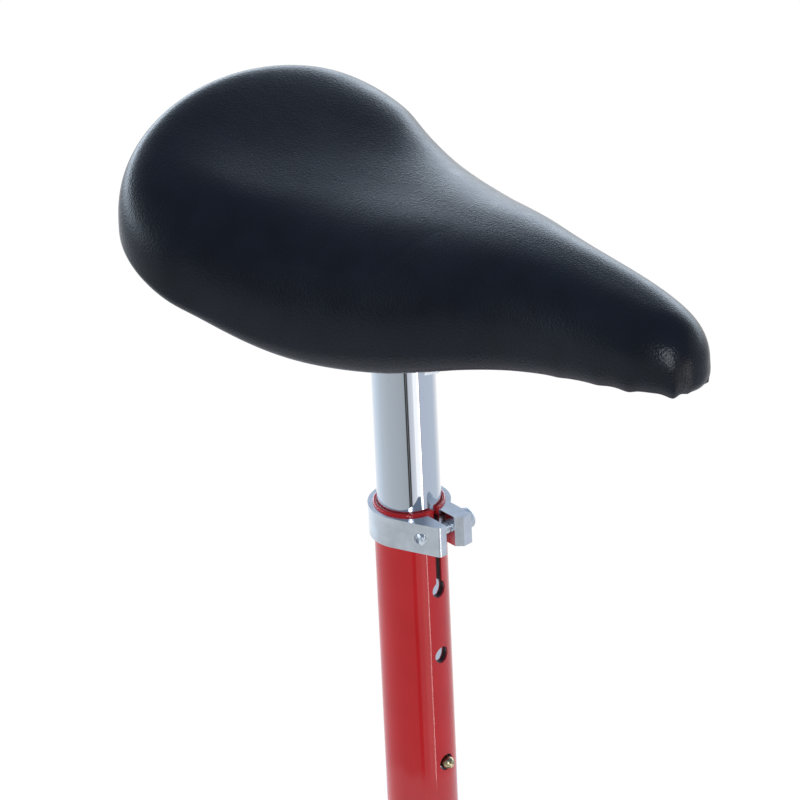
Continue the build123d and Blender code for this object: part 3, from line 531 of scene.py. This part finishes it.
def saddle_skin(inset, crown_steps, under_edge):
    """Points, faces and the last ring's first index, from the crown line out and under."""
    outline = saddle_outline()
    shares = [math.sin(math.pi / 2 * step / crown_steps) for step in range(1, crown_steps + 1)]
    rings = [(share, None) for share in shares] + list(under_edge)
    points = []
    for share, drop in rings:
        for index, edge in enumerate(outline):
            point = saddle_point(edge, share, drop, inset)
            if not inset:
                out = pleat_swell(index / len(outline), share, drop)
                away = Vector((edge.x - HIP_CENTRE[0], edge.y * 2, 0)).normalized()
                point += away * out * PLEAT_OUT + Vector((0, 0, -1)) * out * PLEAT_DOWN
            points.append(over_rim(point))
    faces = grid_faces(len(rings), len(outline), False, True)
    spine_start = len(points)
    for edge in outline[:OUTLINE_STEPS]:
        points.append(over_rim(saddle_point(edge, 0.0, None, inset)))
    for index in range(len(outline)):
        after = (index + 1) % len(outline)
        mirrored = [i if i < OUTLINE_STEPS else len(outline) - i for i in (index, after)]
        faces.append((index, spine_start + mirrored[0], spine_start + mirrored[1], after))
    return points, faces, (len(rings) - 1) * len(outline)


def make_saddle_cover():
    """The vinyl cover: one stretched skin, turned under all round and pleated at the nose."""
    points, faces, _ = saddle_skin(0.0, CROWN_STEPS, UNDER_EDGE)
    cover = make_piece("saddle_vinyl", points, faces)
    shell = cover.modifiers.new("thickness", "SOLIDIFY")
    shell.thickness = VINYL_THICKNESS * MM
    shell.offset = -1
    cover.modifiers.new("smooth", "SUBSURF").render_levels = 1
    finish_piece(cover, FINISHES["vinyl"], "seat", "saddle_cover")


def make_saddle_foam():
    """The foam that fills the cover, flat where it sits on the base."""
    points, faces, last = saddle_skin(FOAM_INSET, FOAM_STEPS, FOAM_EDGE)
    for index in range(1, OUTLINE_STEPS - 2):
        mirrored = OUTLINE_POINTS - index
        faces.append((last + index, last + index + 1, last + mirrored - 1, last + mirrored))
    faces.append((last, last + 1, last + OUTLINE_POINTS - 1))
    faces.append((last + OUTLINE_STEPS - 1, last + OUTLINE_STEPS, last + OUTLINE_STEPS - 2))
    core = make_piece("saddle_foam_core", points, faces)
    finish_piece(core, FINISHES["foam"], "seat", "saddle_foam")


STAPLE_COUNT = 34
STAPLE_SHARE = 0.84
STAPLE_DROP = 8.6
STAPLE_WIRE = 0.5
STAPLE_HALF = 5.0     # half its length
STAPLE_LEG = 2.4


def make_staples():
    """Flat wire staples that hold the turned-in vinyl on the base."""
    outline = saddle_outline()
    points = []
    faces = []
    for staple in range(STAPLE_COUNT):
        index = round((staple + 0.5) * len(outline) / STAPLE_COUNT)
        here = saddle_point(outline[index], STAPLE_SHARE, STAPLE_DROP)
        ahead = saddle_point(outline[(index + 2) % len(outline)], STAPLE_SHARE, STAPLE_DROP)
        along = (ahead - here).normalized()
        side = along.cross(Vector((0, 0, 1))).normalized()
        up = side.cross(along)
        path = [
            here - along * STAPLE_HALF + up * STAPLE_LEG,
            here - along * STAPLE_HALF,
            here + along * STAPLE_HALF,
            here + along * STAPLE_HALF + up * STAPLE_LEG,
        ]
        # The wire's thickness lies along the staple at its legs' ends, and upwards at its bends.
        wire = []
        for corner, thick in zip(path, (along, up, up, -along)):
            for across, over in ((-1, 0), (1, 0), (1, 1), (-1, 1)):
                shift = side * (across * STAPLE_WIRE) + thick * (over * STAPLE_WIRE)
                wire.append(over_rim(corner + shift))
        ends = [(3, 2, 1, 0), (12, 13, 14, 15)]
        add_part(points, faces, wire, grid_faces(4, 4, False, True) + ends)
    staples = make_piece("cover_wire_staples", points, faces, False)
    finish_piece(staples, FINISHES["zinc_steel"], "seat", "cover_staples")


make_saddle_cover()
make_saddle_foam()
make_staples()


# ---- clamp screw ----
SCREW_R = 2.5
THREAD_PITCH = 0.8
THREAD_DEPTH = 0.42
HEAD_R = 4.25
HEAD_HEIGHT = 5.0
HEAD_OVERLAP = 0.5              # of the shank, into the head
SCREW_TURN = math.radians(7)    # the collar is turned this far about the tube
SCREW_OUT = 18.0                # from the tube's axis
SCREW_END = -10.6               # along the screw, from the level of the tube's axis
SCREW_HEAD = 10.2
ROD_STEPS = 28
ROWS_PER_PITCH = 8
ROD_TIP = 0.86                  # of the radius, at either end
GROOVE_STEEPNESS = 3.2
KNURLS = 36
KNURL_STEPS = 4                 # two of them cut in
KNURL_DEPTH = 0.16
HEXAGON_R = 2.0                 # of the socket, to the middle of a side


def threaded_rod(start, direction, radius, length, pitch, depth):
    """A rod with a cut thread. It starts and ends with a small cone."""
    up = Vector((0, 0, 1)) if abs(direction.z) < 0.9 else Vector((1, 0, 0))
    side = direction.cross(up)
    steps = ROD_STEPS
    rows = int(length / pitch * ROWS_PER_PITCH)
    points = [start]
    for row in range(rows + 1):
        height = length * row / rows
        taper = min(1.0, ROD_TIP + (1 - ROD_TIP) * min(height, length - height) / (pitch * 0.5))
        for step in range(steps):
            turn = step / steps
            phase = (height / pitch - turn) % 1.0
            groove = max(0.0, 1 - abs(phase - 0.5) * GROOVE_STEEPNESS)
            reach = (radius - depth * groove) * taper
            angle = TURN * turn
            out = up * math.cos(angle) + side * math.sin(angle)
            points.append(start + direction * height + out * reach)
    points.append(start + direction * length)
    faces = []
    for row in range(rows):
        for step in range(steps):
            right = (step + 1) % steps
            low = 1 + row * steps
            faces.append((low + step, low + steps + step, low + steps + right, low + right))
    last = 1 + rows * steps
    for step in range(steps):
        right = (step + 1) % steps
        faces.append((0, 1 + step, 1 + right))
        faces.append((len(points) - 1, last + right, last + step))
    return points, faces


def socket_head(base, direction, radius, height):
    """A knurled socket head with a hexagon hole, as rings from the underside up and in."""
    up = Vector((0, 0, 1))
    side = direction.cross(up)
    steps = KNURLS * KNURL_STEPS
    points = []
    rings = [
        ("knurl", radius - 0.5, 0.0),
        ("knurl", radius, 0.3),
        ("knurl", radius, height - 0.7),
        ("round", radius - 0.35, height - 0.2),
        ("round", radius - 0.8, height),
        ("hexagon", HEXAGON_R + 0.25, height),
        ("hexagon", HEXAGON_R, height - 0.3),
        ("hexagon", HEXAGON_R, height * 0.45),
        ("hexagon", 0.02, height * 0.4),
    ]
    for kind, reach, level in rings:
        for step in range(steps):
            angle = TURN * step / steps
            spread = reach
            if kind == "knurl" and step % KNURL_STEPS in (0, 1):
                spread = reach - KNURL_DEPTH
            if kind == "hexagon":
                spread = reach / math.cos((angle % (math.pi / 3)) - math.pi / 6)
            out = up * math.cos(angle) + side * math.sin(angle)
            points.append(base + direction * level + out * spread)
    faces = [tuple(reversed(face)) for face in grid_faces(len(rings), steps, False, True)]
    faces.append(tuple(range(steps)))
    return points, faces


def make_clamp_screw():
    """The M5 socket screw through the collar's ears, with its thread cut."""
    low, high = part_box("clamp_bolt")
    out = Vector((math.cos(SCREW_TURN), -math.sin(SCREW_TURN), 0))
    direction = Vector((math.sin(SCREW_TURN), math.cos(SCREW_TURN), 0))
    level = Vector((0, 0, (low.z + high.z) / 2))
    start = level + (out * SCREW_OUT + direction * SCREW_END) * MM
    shank = (SCREW_HEAD - SCREW_END) * MM
    length = shank + HEAD_OVERLAP * MM
    points, faces = threaded_rod(
        start, direction, SCREW_R * MM, length, THREAD_PITCH * MM, THREAD_DEPTH * MM
    )
    head_base = start + direction * shank
    head, head_faces = socket_head(head_base / MM, direction, HEAD_R, HEAD_HEIGHT)
    add_part(points, faces, [point * MM for point in head], head_faces)
    screw = make_piece("clamp_screw", points, faces)
    sharpen(screw, 50)
    finish_piece(screw, FINISHES["zinc_steel"], "frame", "clamp_bolt")


make_clamp_screw()


# ---- saddle bolts ----
SADDLE_BOLT_R = 3.0
SADDLE_BOLT_PITCH = 1.0
SADDLE_BOLT_GROOVE = 0.45
SADDLE_BOLT_PLACES = [(31, 19), (31, -19), (-31, 19), (-31, -19)]
SADDLE_BOLT_HEAD_R = 6.3
SADDLE_BOLT_HEAD = 3.0
HEAD_SHARE = 0.9              # of the CAD head's height, for the head made here
SADDLE_BOLT_OVERHANG = 0.9    # of thread below the nut


def make_saddle_bolts():
    """The four bolts that hold the plate, with cut threads and low socket heads."""
    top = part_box("saddle_bolts")[1].z
    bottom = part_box("saddle_nuts")[0].z - SADDLE_BOLT_OVERHANG * MM
    down = Vector((0, 0, -1))
    points = []
    faces = []
    for x, y in SADDLE_BOLT_PLACES:
        start = Vector((x * MM, y * MM, top - SADDLE_BOLT_HEAD * MM * HEAD_SHARE))
        length = start.z - bottom
        pitch = SADDLE_BOLT_PITCH * MM
        rod, rod_faces = threaded_rod(
            start, down, SADDLE_BOLT_R * MM, length, pitch, SADDLE_BOLT_GROOVE * MM
        )
        add_part(points, faces, rod, rod_faces)
        height = SADDLE_BOLT_HEAD * HEAD_SHARE
        head, head_faces = socket_head(start / MM, -down, SADDLE_BOLT_HEAD_R, height)
        add_part(points, faces, [point * MM for point in head], head_faces)
    bolts = make_piece("saddle_screws", points, faces)
    sharpen(bolts, 50)
    finish_piece(bolts, FINISHES["zinc_steel"], "seat", "saddle_bolts")


make_saddle_bolts()


# ---- tyre ----
TYRE_R = 252.0
SECTION_R = 24.5
WALL = 4.0
RING_R = TYRE_R - SECTION_R
TREAD_DEPTH = 2.3
TREAD_REPEATS = 48
# Rows of blocks: from and to across the tread in degrees of section, and along a repeat.
BLOCK_ROWS = [
    ((0.0, 10.0), [(0.06, 0.44), (0.56, 0.94)]),
    ((14.0, 29.0), [(0.00, 0.30), (0.40, 0.62), (0.72, 0.92)]),
    ((33.0, 50.0), [(0.05, 0.40), (0.55, 0.90)]),
]
CHEVRON = 0.016       # how far the blocks lean back, in repeats for each degree
BLOCK_SLOPE = 0.9     # degrees of section over which a block's wall rises
BLOCK_RAMP = 0.025    # the same for a block's ends, as a share of a repeat
TREAD_EDGE = 52       # degrees of section, where the shoulder starts
SHOULDER_RUN = 30     # degrees over which it rises to the sidewall
SIDEWALL_DIP = 0.5    # of the sidewall, below the tread's top
SIDE_RINGS = [(64.0, 0.5), (92.0, 0.35), (112.0, 0.5)]
RING_SLOPE = 1.8      # degrees from a ring's crest to its foot
RING_MARKS = [-2.4, -1.2, 0.0, 1.2, 2.4]
# Degrees across, between the marks of the blocks and the rings.
PLAIN_STATIONS = {22.0, 41.0, 54.0, 58.0, 76.0, 84.0, 102.0, 120.0, 126.0}
# The left bead, as radius and distance from the middle plane.
BEAD = [(209.8, 15.9), (206.0, 13.8), (203.4, 13.7), (203.4, 11.0), (206.5, 11.0), (210.5, 13.9)]
HOLLOW_ARC = 124      # degrees of section to either side
HOLLOW_STEPS = 20
BEAD_LEAN = 0.9       # how far these points stand round the wheel, in repeats
HOLLOW_LEAN = 0.5


def tread_lift(across, along):
    """Height of the tread over the carcass, 0 or 1 with short slopes between."""
    for (low, high), blocks in BLOCK_ROWS:
        side = min(across - low, high - across) if low else high - across
        if side <= 0:
            continue
        for start, end in blocks:
            inside = min(along - start, end - along)
            if inside > 0:
                return min(1.0, side / BLOCK_SLOPE, inside / BLOCK_RAMP)
    return 0.0


def tyre_stations():
    """Degrees across the outer side of the tyre, close together at block edges."""
    marks = {0.0}
    for (low, high), _ in BLOCK_ROWS:
        marks |= {low, low + BLOCK_SLOPE, high - BLOCK_SLOPE, high} if low else {high - BLOCK_SLOPE, high}
    marks |= PLAIN_STATIONS
    for ring, _ in SIDE_RINGS:
        marks |= {ring + mark for mark in RING_MARKS}
    positive = sorted(marks)
    return [-m for m in reversed(positive[1:])] + positive


def tread_steps():
    """Shares of one repeat where a vertex line runs along the tread."""
    marks = {0.0}
    for _, blocks in BLOCK_ROWS:
        for start, end in blocks:
            marks |= {start, start + BLOCK_RAMP, end - BLOCK_RAMP, end}
    return sorted(m % 1.0 for m in marks)


def tyre_section(along):
    """The section at this share of a repeat: radius, side and lean of each point in turn."""
    section = []
    for degrees in tyre_stations():
        across = abs(degrees)
        shoulder = min(1.0, max(0.0, (across - TREAD_EDGE) / SHOULDER_RUN))
        reach = SECTION_R - TREAD_DEPTH * (1 - tread_lift(across, along))
        reach += shoulder * (TREAD_DEPTH - SIDEWALL_DIP)
        for ring, height in SIDE_RINGS:
            reach += height * max(0.0, 1 - abs(across - ring) / RING_SLOPE)
        angle = math.radians(degrees)
        lean = CHEVRON * min(across, TREAD_EDGE)
        section.append((RING_R + reach * math.cos(angle), reach * math.sin(angle), lean))
    section += [(radius, side, BEAD_LEAN) for radius, side in BEAD]
    hollow = SECTION_R - WALL
    for step in range(HOLLOW_STEPS + 1):
        angle = math.radians(HOLLOW_ARC - step * 2 * HOLLOW_ARC / HOLLOW_STEPS)
        place = (RING_R + hollow * math.cos(angle), hollow * math.sin(angle), HOLLOW_LEAN)
        section.append(place)
    section += [(radius, -side, BEAD_LEAN) for radius, side in reversed(BEAD)]
    return section


def make_tyre():
    """The tyre: moulded tread, ringed sidewalls, beads and hollow inside, as one closed form."""
    sections = [(step, tyre_section(step)) for step in tread_steps()]
    columns = len(sections[0][1])
    points = []
    for repeat in range(TREAD_REPEATS):
        for step, section in sections:
            for radius, side, lean in section:
                turn = TURN * (repeat + step + lean) / TREAD_REPEATS
                ahead = radius * math.cos(turn) * MM
                points.append(Vector((ahead, side * MM, AXLE_Z - radius * math.sin(turn) * MM)))
    rows = len(points) // columns
    tyre = make_piece("tyre_tread", points, grid_faces(rows, columns, True, True))
    sharpen(tyre, 35)
    finish_piece(tyre, FINISHES["tyre_rubber"], "wheel", "tyre")


make_tyre()


# ---- valve ----
# Radius and height, from the foot up.
VALVE_FOOT = [(0.02, 0.0), (2.0, 0.0), (2.5, 0.4), (2.5, 3.8), (3.4, 4.2)]
VALVE_GROOVE = (3.45, 4.4)
VALVE_CREST = (3.95, 4.8)
VALVE_PITCH = 0.9
VALVE_NO_THREAD = 12    # the length that has none, at both ends together
VALVE_TOP = 6           # from a ring of points to the top
VALVE_STEPS = 28


def make_valve():
    """The valve stem with its fine thread and a plain foot."""
    low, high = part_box("valve")
    length = (high.z - low.z) / MM
    profile = list(VALVE_FOOT)
    for ridge in range(int((length - VALVE_NO_THREAD) / VALVE_PITCH)):
        profile += [(r, h + ridge * VALVE_PITCH) for r, h in (VALVE_GROOVE, VALVE_CREST)]
    crest = VALVE_CREST[0]
    profile += [(crest, length - VALVE_TOP), (crest, length), (VALVE_FOOT[0][0], length)]
    profile = [(r * MM, (length - h) * MM) for r, h in profile]
    top = Vector(((low.x + high.x) / 2, (low.y + high.y) / 2, high.z))
    down = Vector((0, 0, -1))
    stem = lathe("valve_stem", profile, VALVE_STEPS, top, down, Vector((1, 0, 0)))
    sharpen(stem, 50)
    finish_piece(stem, FINISHES["brass"], "wheel", "valve")


# ---- pedals ----
TOOTH_BASE = 4.4
TOOTH_TOP = 2.4
TOOTH_HEIGHT = 1.4
TOOTH_SINK = 0.2      # how far its foot is set into the bar
TOOTH_BEVEL = 0.25
TEETH_PER_BAR = 11
TEETH_MARGIN = 24     # of the bar's length, left free
BAR_MIDDLE = 6.2      # from the body's front or back face


def frustum(centre, size, top, height, out, along):
    """A cut pyramid standing on a face: eight points and six faces."""
    side = out.cross(along)
    points = []
    for spread, level in ((size / 2, -TOOTH_SINK), (top / 2, height)):
        for u, v in ((-1, -1), (1, -1), (1, 1), (-1, 1)):
            points.append(centre + out * level + along * (u * spread) + side * (v * spread))
    faces = [(4, 5, 6, 7), (0, 1, 5, 4), (1, 2, 6, 5), (2, 3, 7, 6), (3, 0, 4, 7), (3, 2, 1, 0)]
    return points, faces


def make_pedal_teeth(side_name):
    """Rows of teeth along the front and back bars of a pedal, above and below."""
    low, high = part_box(f"{side_name}_pedal_body")
    middle = (low + high) / 2
    points = []
    faces = []
    bar = (high.x - low.x) / 2 - BAR_MIDDLE * MM
    run = (high.y - low.y) - TEETH_MARGIN * MM
    for out in (1, -1):
        face_z = high.z if out > 0 else low.z
        for end in (1, -1):
            for tooth in range(TEETH_PER_BAR):
                y = middle.y + run * (tooth / (TEETH_PER_BAR - 1) - 0.5)
                centre = Vector((middle.x + end * bar, y, face_z)) / MM
                block, block_faces = frustum(
                    centre, TOOTH_BASE, TOOTH_TOP, TOOTH_HEIGHT, Vector((0, 0, out)), Vector((0, 1, 0))
                )
                add_part(points, faces, [point * MM for point in block], block_faces)
    teeth = make_piece(f"{side_name}_pedal_teeth", points, faces, False)
    edges = teeth.modifiers.new("edges", "BEVEL")
    edges.width = TOOTH_BEVEL * MM
    edges.segments = 2
    finish_piece(teeth, FINISHES["pedal_plastic"], f"{side_name}_pedal")


PRISM_PITCH = 2.0
PRISM_DEPTH = 0.55
REFLECTOR_THICKNESS = 3.0


def make_reflectors(side_name):
    """Each pedal's two reflectors, with their prisms cut in the outer face."""
    low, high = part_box(f"{side_name}_pedal_reflectors")
    columns = 2 * int((high.y - low.y) / MM / PRISM_PITCH) + 1
    rows = 2 * int((high.z - low.z) / MM / PRISM_PITCH) + 1
    back = rows * columns
    edge_low = list(range(columns))
    edge_high = [row * columns + columns - 1 for row in range(rows)]
    edge_top = [(rows - 1) * columns + column for column in reversed(range(columns))]
    edge_left = [row * columns for row in reversed(range(rows))]
    block_faces = grid_faces(rows, columns)
    for corner, edge in enumerate((edge_low, edge_high, edge_top, edge_left)):
        block_faces.append((*reversed(edge), back + corner, back + (corner + 1) % 4))
    block_faces.append((back + 3, back + 2, back + 1, back))
    corners = [(low.y, low.z), (high.y, low.z), (high.y, high.z), (low.y, high.z)]
    points = []
    faces = []
    for out in (1, -1):
        face_x = high.x if out > 0 else low.x
        block = []
        for row in range(rows):
            for column in range(columns):
                y = low.y + (high.y - low.y) * column / (columns - 1)
                z = low.z + (high.z - low.z) * row / (rows - 1)
                border = row in (0, rows - 1) or column in (0, columns - 1)
                dip = 0.0 if border or (row % 2 and column % 2) else PRISM_DEPTH * MM
                block.append(Vector((face_x - out * dip, y, z)))
        back_x = face_x - out * (REFLECTOR_THICKNESS * MM)
        block += [Vector((back_x, y, z)) for y, z in corners]
        turned = block_faces if out > 0 else [tuple(reversed(face)) for face in block_faces]
        add_part(points, faces, block, turned)
    lens = make_piece(f"{side_name}_prism_reflectors", points, faces, False)
    finish_piece(lens, FINISHES["reflector"], f"{side_name}_pedal", f"{side_name}_pedal_reflectors")


make_valve()
for side_name in ("left", "right"):
    make_pedal_teeth(side_name)
    make_reflectors(side_name)


# ---- welds ----
BLADE_R = 11.0
WELD_R = 1.4
CROWN_WELD_R = 14.9   # keeps the bead out of the seat tube's bore
HOLDER_R = 25.0
BLADE_FOOT_Y = 50
POST_BEAD_R = 12.9    # of the ring round the post
POST_WELD_R = 1.3
POST_WELD_DROP = 0.6
PATH_STEPS = 110
BEAD_STEPS = 10
RIPPLE = 0.16         # of the bead's radius, from one drop of weld to the next
RIPPLE_TURN = 2.1
UNEVENNESS = 0.12
SLANT = Vector((0.31, 0.17, 0.93))    # no bead runs along this


def weld_bead(name, path, radius_mm, material, body):
    """A rippled weld bead along a closed path of points in mm."""
    points = []
    count = len(path)
    for index, centre in enumerate(path):
        ahead = (path[(index + 1) % count] - path[index - 1]).normalized()
        out = ahead.cross(SLANT).normalized()
        over = ahead.cross(out)
        uneven = UNEVENNESS * noise.noise(centre * 0.4)
        wave = radius_mm * (1 + RIPPLE * math.sin(index * RIPPLE_TURN) + uneven)
        for step in range(BEAD_STEPS):
            angle = TURN * step / BEAD_STEPS
            points.append((centre + (out * math.cos(angle) + over * math.sin(angle)) * wave) * MM)
    bead = make_piece(name, points, grid_faces(count, BEAD_STEPS, True, True))
    finish_piece(bead, material, body)
    return bead


def make_welds():
    """Beads where the blades meet the seat tube and the holders, and the post its plate."""
    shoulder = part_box("left_fork_blade")[1].z / MM - BLADE_R
    around = [TURN * step / PATH_STEPS for step in range(PATH_STEPS)]
    for side_name, side in (("left", 1), ("right", -1)):
        joint = []
        foot = []
        for angle in around:
            x = BLADE_R * math.sin(angle)
            y = side * math.sqrt(CROWN_WELD_R ** 2 - x * x)
            joint.append(Vector((x, y, shoulder + BLADE_R * math.cos(angle))))
            y = side * BLADE_FOOT_Y + BLADE_R * math.cos(angle)
            foot.append(Vector((x, y, AXLE_Z / MM + math.sqrt(HOLDER_R ** 2 - x * x))))
        for name, path in ((f"{side_name}_crown_weld", joint), (f"{side_name}_holder_weld", foot)):
            weld_bead(name, path, WELD_R, FINISHES["red_paint"], "frame")
    plate_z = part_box("seatpost_plate")[0].z / MM
    ring = []
    for angle in around:
        x = POST_BEAD_R * math.cos(angle)
        ring.append(Vector((x, POST_BEAD_R * math.sin(angle), plate_z - POST_WELD_DROP)))
    weld_bead("post_weld", ring, POST_WELD_R, FINISHES["chrome"], "seat")


make_welds()


# ---- camera, light and floor ----
CAMERA_PLACE = Vector((1.2376, -1.2977, 1.7124))
CAMERA_FORWARD = Vector((-0.60945, 0.63775, -0.47101)).normalized()
CAMERA_ROLL = math.radians(2.63)
LENS_MM = 235.8
SENSOR_MM = 36


def make_camera():
    """A long lens, about two metres away, looking down past the saddle's nose."""
    right = CAMERA_FORWARD.cross(Vector((0, 0, 1))).normalized()
    down = CAMERA_FORWARD.cross(right).normalized()
    across = right * math.cos(CAMERA_ROLL) + down * math.sin(CAMERA_ROLL)
    up = right * math.sin(CAMERA_ROLL) - down * math.cos(CAMERA_ROLL)
    data = bpy.data.cameras.new("camera")
    data.lens = LENS_MM
    data.sensor_width = SENSOR_MM
    camera = bpy.data.objects.new("camera", data)
    camera.matrix_world = Matrix((across, up, -CAMERA_FORWARD)).transposed().to_4x4()
    camera.matrix_world.translation = CAMERA_PLACE
    bpy.context.scene.collection.objects.link(camera)
    bpy.context.scene.camera = camera


# The studio tent, as brightness and tint by direction. Turns are degrees from the camera's
# side of the object, growing towards the right of the picture, as a person would pace round.
CAMERA_SIDE_TURN = -46.3
WHITE = (1.0, 1.0, 1.0)
SKY_BLUE = (0.74, 0.86, 1.0)
TENT_BELOW = [
    (-180, 1.15, WHITE),
    (-125, 0.95, (0.80, 0.90, 1.0)),
    (-95, 0.72, (0.84, 0.92, 1.0)),
    (-60, 0.60, (0.86, 0.94, 1.0)),
    (-20, 0.54, (0.87, 0.94, 1.0)),
    (-1.0, 0.50, (0.87, 0.94, 1.0)),
    (1.0, 0.03, WHITE),
    (4.5, 0.05, WHITE),
    (5.5, 0.30, WHITE),
    (6.5, 0.05, WHITE),
    (10.5, 0.04, WHITE),
    (12.0, 0.72, (0.90, 0.93, 1.0)),
    (29.0, 0.90, (0.93, 0.95, 1.0)),
    (30.5, 1.25, WHITE),
    (46.5, 1.25, WHITE),
    (47.5, 7.5, WHITE),
    (49.5, 7.5, WHITE),
    (50.5, 1.25, WHITE),
    (51.0, 1.25, WHITE),
    (52.0, 0.30, (1.0, 0.25, 0.25)),
    (53.5, 0.72, (0.78, 0.86, 1.0)),
    (115, 0.74, (0.80, 0.88, 1.0)),
    (150, 1.0, WHITE),
    (180, 1.15, WHITE),
]
TENT_ABOVE = [
    (-180, 0.90, SKY_BLUE),
    (-130, 1.20, (0.78, 0.88, 1.0)),
    (-95, 0.70, (0.78, 0.88, 1.0)),
    (-50, 0.22, (0.72, 0.85, 1.0)),
    (45, 0.26, (0.72, 0.85, 1.0)),
    (90, 0.90, (0.80, 0.90, 1.0)),
    (130, 1.05, (0.80, 0.90, 1.0)),
    (180, 0.90, SKY_BLUE),
]
CEILING = (0.24, 0.31, 0.44)
# A bright band low behind the object, where the sweep catches the back light.
TENT_GLOW = [
    (-180, 3.6, SKY_BLUE),
    (-150, 7.2, SKY_BLUE),
    (-112, 7.2, SKY_BLUE),
    (-80, 1.2, SKY_BLUE),
    (-60, 0.0, WHITE),
    (100, 0.0, WHITE),
    (125, 2.6, SKY_BLUE),
    (160, 3.8, SKY_BLUE),
    (180, 3.6, SKY_BLUE),
]
GLOW_HEIGHT = 0.10    # as the sine of its elevation
GLOW_SPREAD = 0.15
WALL_RISE = (5.0, 0.8)    # slope and start of the change from TENT_BELOW to TENT_ABOVE
CEILING_RISE = (2.0, -0.5)
BACKDROP = 1.02       # the brightness that the camera sees behind the object
RAMP_TOP = 7.5        # ramps hold colours up to 1, so brightness is divided by this


class Sky:
    """The world's node tree, with short calls."""

    def __init__(self):
        world = bpy.data.worlds.new("studio")
        bpy.context.scene.world = world
        world.use_nodes = True
        self.tree = world.node_tree
        self.background = self.tree.nodes["Background"]
        place = self.tree.nodes.new("ShaderNodeTexCoord")
        split = self.tree.nodes.new("ShaderNodeSeparateXYZ")
        self.tree.links.new(place.outputs["Generated"], split.inputs["Vector"])
        self.x, self.y, self.z = (split.outputs[axis] for axis in "XYZ")

    def math(self, operation, *values):
        return maths_node(self.tree, operation, values)

    def rise(self, slope, start):
        """0 to 1 with the height of the direction."""
        line = self.math("MULTIPLY_ADD", self.z, slope, start)
        return self.math("MINIMUM", self.math("MAXIMUM", line, 0.0), 1.0)

    def ramp(self, fac, stops):
        """Colour round the horizon, from (turn, brightness, tint) stops."""
        shares = []
        for turn, level, tint in stops:
            shares.append(((turn + 180) / 360, [level * part / RAMP_TOP for part in tint]))
        return ramp_node(self.tree, fac, shares)

    def mix(self, fac, first, second, blend="MIX"):
        """Two colours mixed or added, each an output or three numbers."""
        node = self.tree.nodes.new("ShaderNodeMix")
        node.data_type = "RGBA"
        node.blend_type = blend
        self.tree.links.new(fac, node.inputs["Factor"])
        for socket, value in ((MIX_A, first), (MIX_B, second)):
            if isinstance(value, tuple):
                node.inputs[socket].default_value = (*value, 1)
            else:
                self.tree.links.new(value, node.inputs[socket])
        return node.outputs[MIX_RESULT]


def make_tent():
    """White paper all round, darker where the camera looks in, with a bright panel to its right."""
    sky = Sky()
    heading = sky.math("ARCTAN2", sky.y, sky.x)
    turn = sky.math("MULTIPLY_ADD", heading, 1 / TURN, 0.5 - CAMERA_SIDE_TURN / 360)
    turn = sky.math("FRACT", turn)
    below = sky.ramp(turn, TENT_BELOW)
    above = sky.ramp(turn, TENT_ABOVE)
    walls = sky.mix(sky.rise(*WALL_RISE), below, above)
    ceiling = tuple(part / RAMP_TOP for part in CEILING)
    tent = sky.mix(sky.rise(*CEILING_RISE), walls, ceiling)
    off = sky.math("MULTIPLY_ADD", sky.z, 1 / GLOW_SPREAD, -GLOW_HEIGHT / GLOW_SPREAD)
    band = sky.math("EXPONENT", sky.math("MULTIPLY", sky.math("MULTIPLY", off, off), -1.0))
    tent = sky.mix(band, tent, sky.ramp(turn, TENT_GLOW), "ADD")
    path = sky.tree.nodes.new("ShaderNodeLightPath")
    plain = sky.mix(path.outputs["Is Camera Ray"], tent, (BACKDROP / RAMP_TOP,) * 3)
    sky.tree.links.new(plain, sky.background.inputs["Color"])
    sky.background.inputs["Strength"].default_value = RAMP_TOP


def make_softbox(name, place, aim, size, watts, tint):
    """A soft rectangular light."""
    data = bpy.data.lights.new(name, "AREA")
    data.shape = "RECTANGLE"
    data.size, data.size_y = size
    data.energy = watts
    data.color = tint
    light = bpy.data.objects.new(name, data)
    light.location = place
    light.rotation_euler = (Vector(aim) - Vector(place)).to_track_quat("-Z", "Y").to_euler()
    light.visible_camera = False
    bpy.context.scene.collection.objects.link(light)


FLOOR_R = 0.95
FLOOR_STEPS = 180


def make_floor():
    """A plain pale disc under the wheel."""
    turns = [TURN * step / FLOOR_STEPS for step in range(FLOOR_STEPS)]
    rim = [Vector((FLOOR_R * math.cos(turn), FLOOR_R * math.sin(turn), 0)) for turn in turns]
    floor = make_piece("floor", rim, [tuple(range(FLOOR_STEPS))], False)
    pale = Finish("pale_floor", (0.93, 0.93, 0.93), Roughness=0.8, Emission_Strength=0.6)
    pale.shader.inputs["Emission Color"].default_value = (1.0, 0.95, 0.88, 1)
    floor.data.materials.append(pale.material)


make_camera()
make_tent()
make_floor()
SADDLE_NOSE = Vector((0.144, -0.010, RIM_TOP + 0.113))
STRIP_PLACE = SADDLE_NOSE + Vector((0.67, -0.72, 0.19)) * 1.6
STRIP_SIZE = (0.3, 0.9)
STRIP_WATTS = 9.0
STRIP_TINT = (0.86, 0.93, 1.0)
make_softbox("strip", STRIP_PLACE, SADDLE_NOSE, STRIP_SIZE, STRIP_WATTS, STRIP_TINT)

scene = bpy.context.scene
scene.view_settings.view_transform = "Standard"
